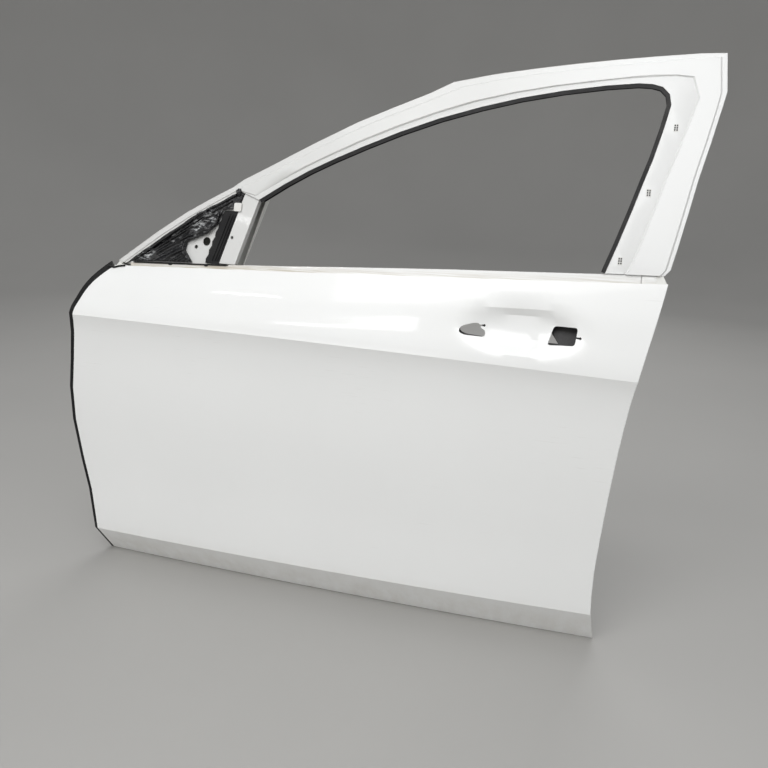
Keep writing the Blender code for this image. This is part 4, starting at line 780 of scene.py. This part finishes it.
class DOOR_OT_crumple_foam(bpy.types.Operator):
    """Replaces the plain foam with a torn one: long pulled folds, crumples and a rolled lip round the tear"""
    bl_idname = "door.crumple_foam"
    bl_label = "Crumple Foam"

    def execute(self, context):
        settings = context.scene.door_soft
        finish = foam_finish(settings)
        bm = self.fine_copy()
        for vert in bm.verts:
            facing = vert.normal.dot(FOAM_FACING)
            if facing >= FOAM_TURNED_AWAY:
                vert.co += FOAM_FACING * settings.foam_relief * self.lift_at(vert.co) * min(facing, 1)
        bm.normal_update()
        tree = BVHTree.FromBMesh(bm)
        piece = as_piece("crumpled_foam_seal", bm, finish, ("mirror_foam_seal",))

        bm = bmesh.new()
        lip = settings.lip_radius
        lay_bar(bm, tree, TEAR_LIP, lip, steps=5, sides=10, uneven=0.5, sink=0.35)
        lay_bar(bm, tree, FOAM_BAR, lip, flat=0.9, steps=8, sides=10, uneven=0.25, sink=0.2)
        lay_bar(bm, tree, FOAM_INNER_BAR, lip * INNER_BAR_SHARE, flat=0.9, steps=8, uneven=0.3, sink=0.2)
        self.top_knot(bm, tree)
        piece = as_piece("foam_rolled_edges", bm, finish)
        return {"FINISHED"}

    @staticmethod
    def fine_copy():
        """The plain foam's mesh, joined, then cut until its edges are short enough to crumple."""
        bm = bmesh.new()
        bm.from_mesh(NODES["mirror_foam_seal"].data)
        bmesh.ops.remove_doubles(bm, verts=bm.verts, dist=MERGE_DISTANCE)
        for _ in range(FOAM_CUTS):
            long_edges = [edge for edge in bm.edges if edge.calc_length() > FOAM_EDGE_LENGTH]
            bmesh.ops.subdivide_edges(bm, edges=long_edges, cuts=1, use_grid_fill=False)
            bmesh.ops.triangulate(bm, faces=bm.faces)
        bm.normal_update()
        return bm

    @staticmethod
    def lift_at(place):
        """Share of the relief at a place: long folds, finer creases, soft lumps, and none at the white clip."""
        run = place.dot(FOAM_PULL)
        across = place - FOAM_PULL * run
        lift = LUMP_SHARE * noise.noise(place * LUMP_DENSITY)
        for crossing, lengthwise, narrow, height, shift in (LONG_FOLDS, FINE_CREASES):
            spot = across * crossing + FOAM_PULL * run * lengthwise + FOAM_FACING * shift
            lift += height * max(0, 1 - narrow * abs(noise.noise(spot))) ** FOLD_SHARPNESS
        clear = ((place - WHITE_CLIP).length - WHITE_CLIP_CLEARANCE) / WHITE_CLIP_FADE
        return lift * min(max(clear, 0), 1)

    @staticmethod
    def top_knot(bm, tree):
        """The bunched end of the foam at the triangle's top."""
        place, facing = lie_on(tree, *TOP_KNOT)
        verts = bmesh.ops.create_icosphere(bm, subdivisions=3, radius=1.0)["verts"]
        for vert in verts:
            vert.co *= 1 + KNOT_LUMPS * noise.noise(vert.co * KNOT_LUMP_DENSITY)
        shape = Matrix.Translation(place + facing * KNOT_LIFT) @ Matrix.Diagonal((*KNOT_HALF_SIZES, 1.0))
        bmesh.ops.transform(bm, matrix=shape, verts=verts)


class DOOR_OT_seal_triangle(bpy.types.Operator):
    """Adds the sill bar under the foam with its tabs, the gasket's ribs and the end of the front seal"""
    bl_idname = "door.seal_triangle"
    bl_label = "Seal Triangle"

    def execute(self, context):
        finish = bpy.data.materials["seal_rubber"]
        strip = outer_faces("outer_waist_rail")
        bm = bmesh.new()
        lay_bar(bm, strip, SILL_BAR, SILL_BAR_RADIUS, steps=8)
        for x, z in SILL_TABS:
            ends = ((x - SILL_TAB_HALF_LENGTH, z), (x + SILL_TAB_HALF_LENGTH, z + SILL_TAB_RISE))
            lay_bar(bm, strip, ends, SILL_TAB_RADIUS, flat=0.7, steps=3)
        as_piece("sill_bar", bm, finish)
        gasket = outer_faces("mirror_edge_gasket")
        bm = bmesh.new()
        for rib in GASKET_RIBS:
            lay_bar(bm, gasket, rib, RIB_RADIUS, flat=1.2, steps=10, sides=6, uneven=0.1)
        as_piece("gasket_ribs", bm, finish)
        front = outer_faces("front_edge_seal", "outer_skin", "outer_waist_rail", "inner_panel")
        bm = bmesh.new()
        lay_bar(bm, front, SEAL_END, SEAL_END_RADIUS, steps=5, uneven=0.2, sink=0.5)
        as_piece("front_seal_end", bm, finish)
        return {"FINISHED"}


class DOOR_OT_seal_seams(bpy.types.Operator):
    """Adds the painted sealer on the folded hem, inside, and in the gap behind the belt strip's rear end"""
    bl_idname = "door.seal_seams"
    bl_label = "Seal Seams"

    def execute(self, context):
        self.hem_bead(context.scene.door_soft.sealer_radius)
        self.corner_fill()
        return {"FINISHED"}

    @staticmethod
    def edge_at(tree, fixed, low, high, upright):
        """How far the skin reaches along x at a height, or along z at a length, by halving the span."""
        for _ in range(EDGE_HALVINGS):
            middle = (low + high) / 2
            x, z = (middle, fixed) if upright else (fixed, middle)
            if tree.ray_cast(Vector((x, 1, z)), Vector((0, -1, 0)))[0] is None:
                high = middle
            else:
                low = middle
        return low

    def hem_bead(self, radius):
        """A bead on the inner edge of the hem, along the bottom and up the rear."""
        skin = outer_faces("outer_skin")
        both = outer_faces("outer_skin", "inner_panel")
        box_low, box_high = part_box("outer_skin")
        inset = HEM_WIDTH + radius / 2
        lengths, heights = ([start + step * i for i in range(count)]
                            for start, step, count in (BOTTOM_RUN, REAR_RUN))
        bottom = [(x, self.edge_at(skin, x, SKIN_MIDDLE_HEIGHT, box_low.z - SKIN_OVERRUN, False) + inset)
                  for x in lengths]
        rear = [(self.edge_at(skin, z, SKIN_REAR_START, box_high.x + SKIN_OVERRUN, True) - inset, z)
                for z in heights]
        bm = bmesh.new()
        for run in (bottom, rear):
            lay_bar(bm, both, run, radius, flat=0.6, steps=2, uneven=0.25, sink=0.2, from_inside=True)
        as_piece("hem_sealer", bm, bpy.data.materials["inner_paint"])

    @staticmethod
    def corner_fill():
        """A pressed lump of sealer, shaped like the strip that it carries on."""
        (x_low, z_low), (x_high, z_high) = CORNER_GAP
        strip = outer_faces("outer_waist_rail", "inner_panel", "outer_skin")
        near = lie_on(strip, x_low - FEEL_AHEAD, z_high - FEEL_UPPER)[0]
        under = lie_on(strip, x_low - FEEL_AHEAD, z_low + FEEL_LOWER)[0]
        lean = (near.y - under.y) / (near.z - under.z)
        bm = bmesh.new()
        bmesh.ops.create_cube(bm, size=1.0)
        bmesh.ops.scale(bm, vec=(x_high - x_low, CORNER_THICKNESS, z_high - z_low), verts=bm.verts)
        bmesh.ops.subdivide_edges(bm, edges=bm.edges, cuts=3, use_grid_fill=True)
        bmesh.ops.translate(bm, vec=((x_low + x_high) / 2, 0, (z_low + z_high) / 2), verts=bm.verts)
        for vert in bm.verts:
            vert.co.y += near.y + (vert.co.z - near.z) * lean + CORNER_DEPTH
            vert.co.y += CORNER_UNEVEN * noise.noise(vert.co * CORNER_UNEVEN_DENSITY)
        sharp = [edge for edge in bm.edges if edge.calc_face_angle(0) > CORNER_SHARP_TURN]
        bmesh.ops.bevel(bm, geom=sharp, offset=CORNER_EDGE, segments=2, affect="EDGES", profile=0.5,
                        material=-1)
        as_piece("corner_sealer", bm, bpy.data.materials["belt_strip_paint"])


class DOOR_OT_fit_post_clips(bpy.types.Operator):
    """Seats the three small clips, with their grey pips, in the rear post's slots"""
    bl_idname = "door.fit_post_clips"
    bl_label = "Fit Post Clips"

    def execute(self, context):
        post = outer_faces("window_frame_outer")
        plates, dots = bmesh.new(), bmesh.new()
        for x, z in POST_CLIPS:
            beside, facing = lie_on(post, x + SLOT_SIDE, z)
            turn = facing.to_track_quat("Z", "Y").to_matrix().to_4x4()
            seat = Matrix.Translation(beside - Vector((SLOT_SIDE, 0, 0))) @ turn
            plate = bmesh.ops.create_cube(plates, size=1.0, matrix=seat @ Matrix.Diagonal((*CLIP_PLATE, 1)))
            bmesh.ops.bevel(plates, geom=edges_among(plate["verts"]), offset=CLIP_EDGE, segments=2,
                            affect="EDGES", profile=0.5, material=-1)
            for column in PIP_COLUMNS:
                for row in PIP_ROWS:
                    spot = seat @ Matrix.Translation((column, row, PIP_LIFT))
                    bmesh.ops.create_cube(dots, size=1.0, matrix=spot @ Matrix.Diagonal((*PIP_SIZES, 1)))
        as_piece("post_clips", plates, bpy.data.materials["clip_plastic"], smooth=False)
        as_piece("post_clip_pips", dots, grey_pip_finish(), smooth=False)
        return {"FINISHED"}


class DOOR_OT_set_stage(bpy.types.Operator):
    """Makes the pale floor, the soft lights and the camera of the photograph"""
    bl_idname = "door.set_stage"
    bl_label = "Set Stage"

    def execute(self, context):
        settings = context.scene.door_stage
        self.make_floor(tuple(settings.floor_colour))
        self.make_lights(settings.light_power)
        self.make_camera(context.scene)
        self.make_room(context.scene)
        return {"FINISHED"}

    @staticmethod
    def make_floor(colour):
        """A floor that turns up in a wide cove, spun from its profile."""
        turns = [math.radians(90 * step / COVE_STEPS) for step in range(1, COVE_STEPS + 1)]
        profile = [(0.0, 0.0), (FLOOR_REACH / 2, 0.0), (FLOOR_REACH, 0.0),
                   *((FLOOR_REACH + COVE_RADIUS * math.sin(turn), COVE_RADIUS * (1 - math.cos(turn)))
                     for turn in turns),
                   (FLOOR_REACH + COVE_RADIUS, WALL_HEIGHT)]
        bm = bmesh.new()
        verts = [bm.verts.new((reach, 0, height)) for reach, height in profile]
        edges = [bm.edges.new(pair) for pair in zip(verts, verts[1:])]
        bmesh.ops.spin(bm, geom=verts + edges, cent=(0, 0, 0), axis=(0, 0, 1), dvec=(0, 0, 0), angle=math.tau,
                       steps=FLOOR_SECTORS, use_merge=True)
        bmesh.ops.remove_doubles(bm, verts=bm.verts, dist=FLOOR_MERGE)
        bmesh.ops.recalc_face_normals(bm, faces=bm.faces)
        bmesh.ops.reverse_faces(bm, faces=bm.faces)
        bmesh.ops.translate(bm, vec=(SOLID_BOX[1].x / 2, 0, FLOOR_HEIGHT - FLOOR_GAP), verts=bm.verts)
        made, tree, shader, place = new_material("pale_floor")
        shade = mix_colour(tree, patches(tree, place, 1.4, 4.0), colour, [channel * 0.96 for channel in colour])
        feed(tree, shader.inputs["Base Color"], shade)
        shader.inputs["Roughness"].default_value = 0.62
        floor = mesh_object("pale_floor", bm, made)

    @staticmethod
    def make_lights(power):
        """Large soft lights round the door, and two thin strips that the paint mirrors on its shoulder."""
        for name, place, width, depth, share in LIGHTS:
            data = bpy.data.lights.new(name + "_light", "AREA")
            data.shape = "RECTANGLE"
            data.size = width
            data.size_y = depth
            data.energy = power * share
            lamp = new_object(name + "_light", data)
            lamp.location = place
            lamp.rotation_mode = "QUATERNION"
            lamp.rotation_quaternion = (LIGHT_AIM - Vector(place)).to_track_quat("-Z", "Y")
            lamp.visible_camera = False

    @staticmethod
    def make_camera(scene):
        data = bpy.data.cameras.new("photo_camera")
        data.lens = CAMERA_LENS
        data.sensor_width = CAMERA_SENSOR
        data.clip_start = CAMERA_NEAR
        camera = new_object("photo_camera", data)
        right = Vector(CAMERA_RIGHT).normalized()
        back = right.cross(Vector(CAMERA_UP).normalized()).normalized()
        turn = Matrix((right, back.cross(right), back)).transposed().to_4x4()
        camera.matrix_world = Matrix.Translation(CAMERA_PLACE) @ turn
        scene.camera = camera

    @staticmethod
    def make_room(scene):
        """Even light from all round, shown with plain colours."""
        world = bpy.data.worlds.new("soft_room")
        world.use_nodes = True
        backdrop = world.node_tree.nodes["Background"]
        backdrop.inputs["Color"].default_value = ROOM_COLOUR
        backdrop.inputs["Strength"].default_value = ROOM_STRENGTH
        scene.world = world
        scene.view_settings.view_transform = "Standard"


SETTINGS = {"door_paint": DoorPaintSettings, "door_soft": DoorSoftSettings, "door_stage": DoorStageSettings}
STEPS = (DOOR_OT_paint_outside, DOOR_OT_paint_inside, DOOR_OT_prime_steel, DOOR_OT_fit_rubbers,
         DOOR_OT_fit_plastics, DOOR_OT_lay_damping, DOOR_OT_crumple_foam, DOOR_OT_seal_triangle,
         DOOR_OT_seal_seams, DOOR_OT_fit_post_clips, DOOR_OT_set_stage)


class DOOR_PT_finish(bpy.types.Panel):
    """Lists the door shell's finishing steps"""
    bl_idname = "DOOR_PT_finish"
    bl_label = "Door Shell"
    bl_space_type = "VIEW_3D"
    bl_region_type = "UI"
    bl_category = "Door Shell"

    def draw(self, context):
        for name, kind in SETTINGS.items():
            for field in kind.__annotations__:
                self.layout.prop(getattr(context.scene, name), field)
        for step in STEPS:
            self.layout.operator(step.bl_idname)


CLASSES = (*SETTINGS.values(), *STEPS, DOOR_PT_finish)


def register():
    for made in CLASSES:
        bpy.utils.register_class(made)
    for name, kind in SETTINGS.items():
        setattr(bpy.types.Scene, name, PointerProperty(type=kind))


def unregister():
    for name in SETTINGS:
        delattr(bpy.types.Scene, name)
    for made in reversed(CLASSES):
        bpy.utils.unregister_class(made)


def main():
    register()
    bpy.ops.door.paint_outside()
    bpy.ops.door.paint_inside()
    bpy.ops.door.prime_steel()
    bpy.ops.door.fit_rubbers()
    bpy.ops.door.fit_plastics()
    bpy.ops.door.lay_damping()
    bpy.ops.door.crumple_foam()
    bpy.ops.door.seal_triangle()
    bpy.ops.door.seal_seams()
    bpy.ops.door.fit_post_clips()
    bpy.ops.door.set_stage()


if __name__ == "__main__":
    main()
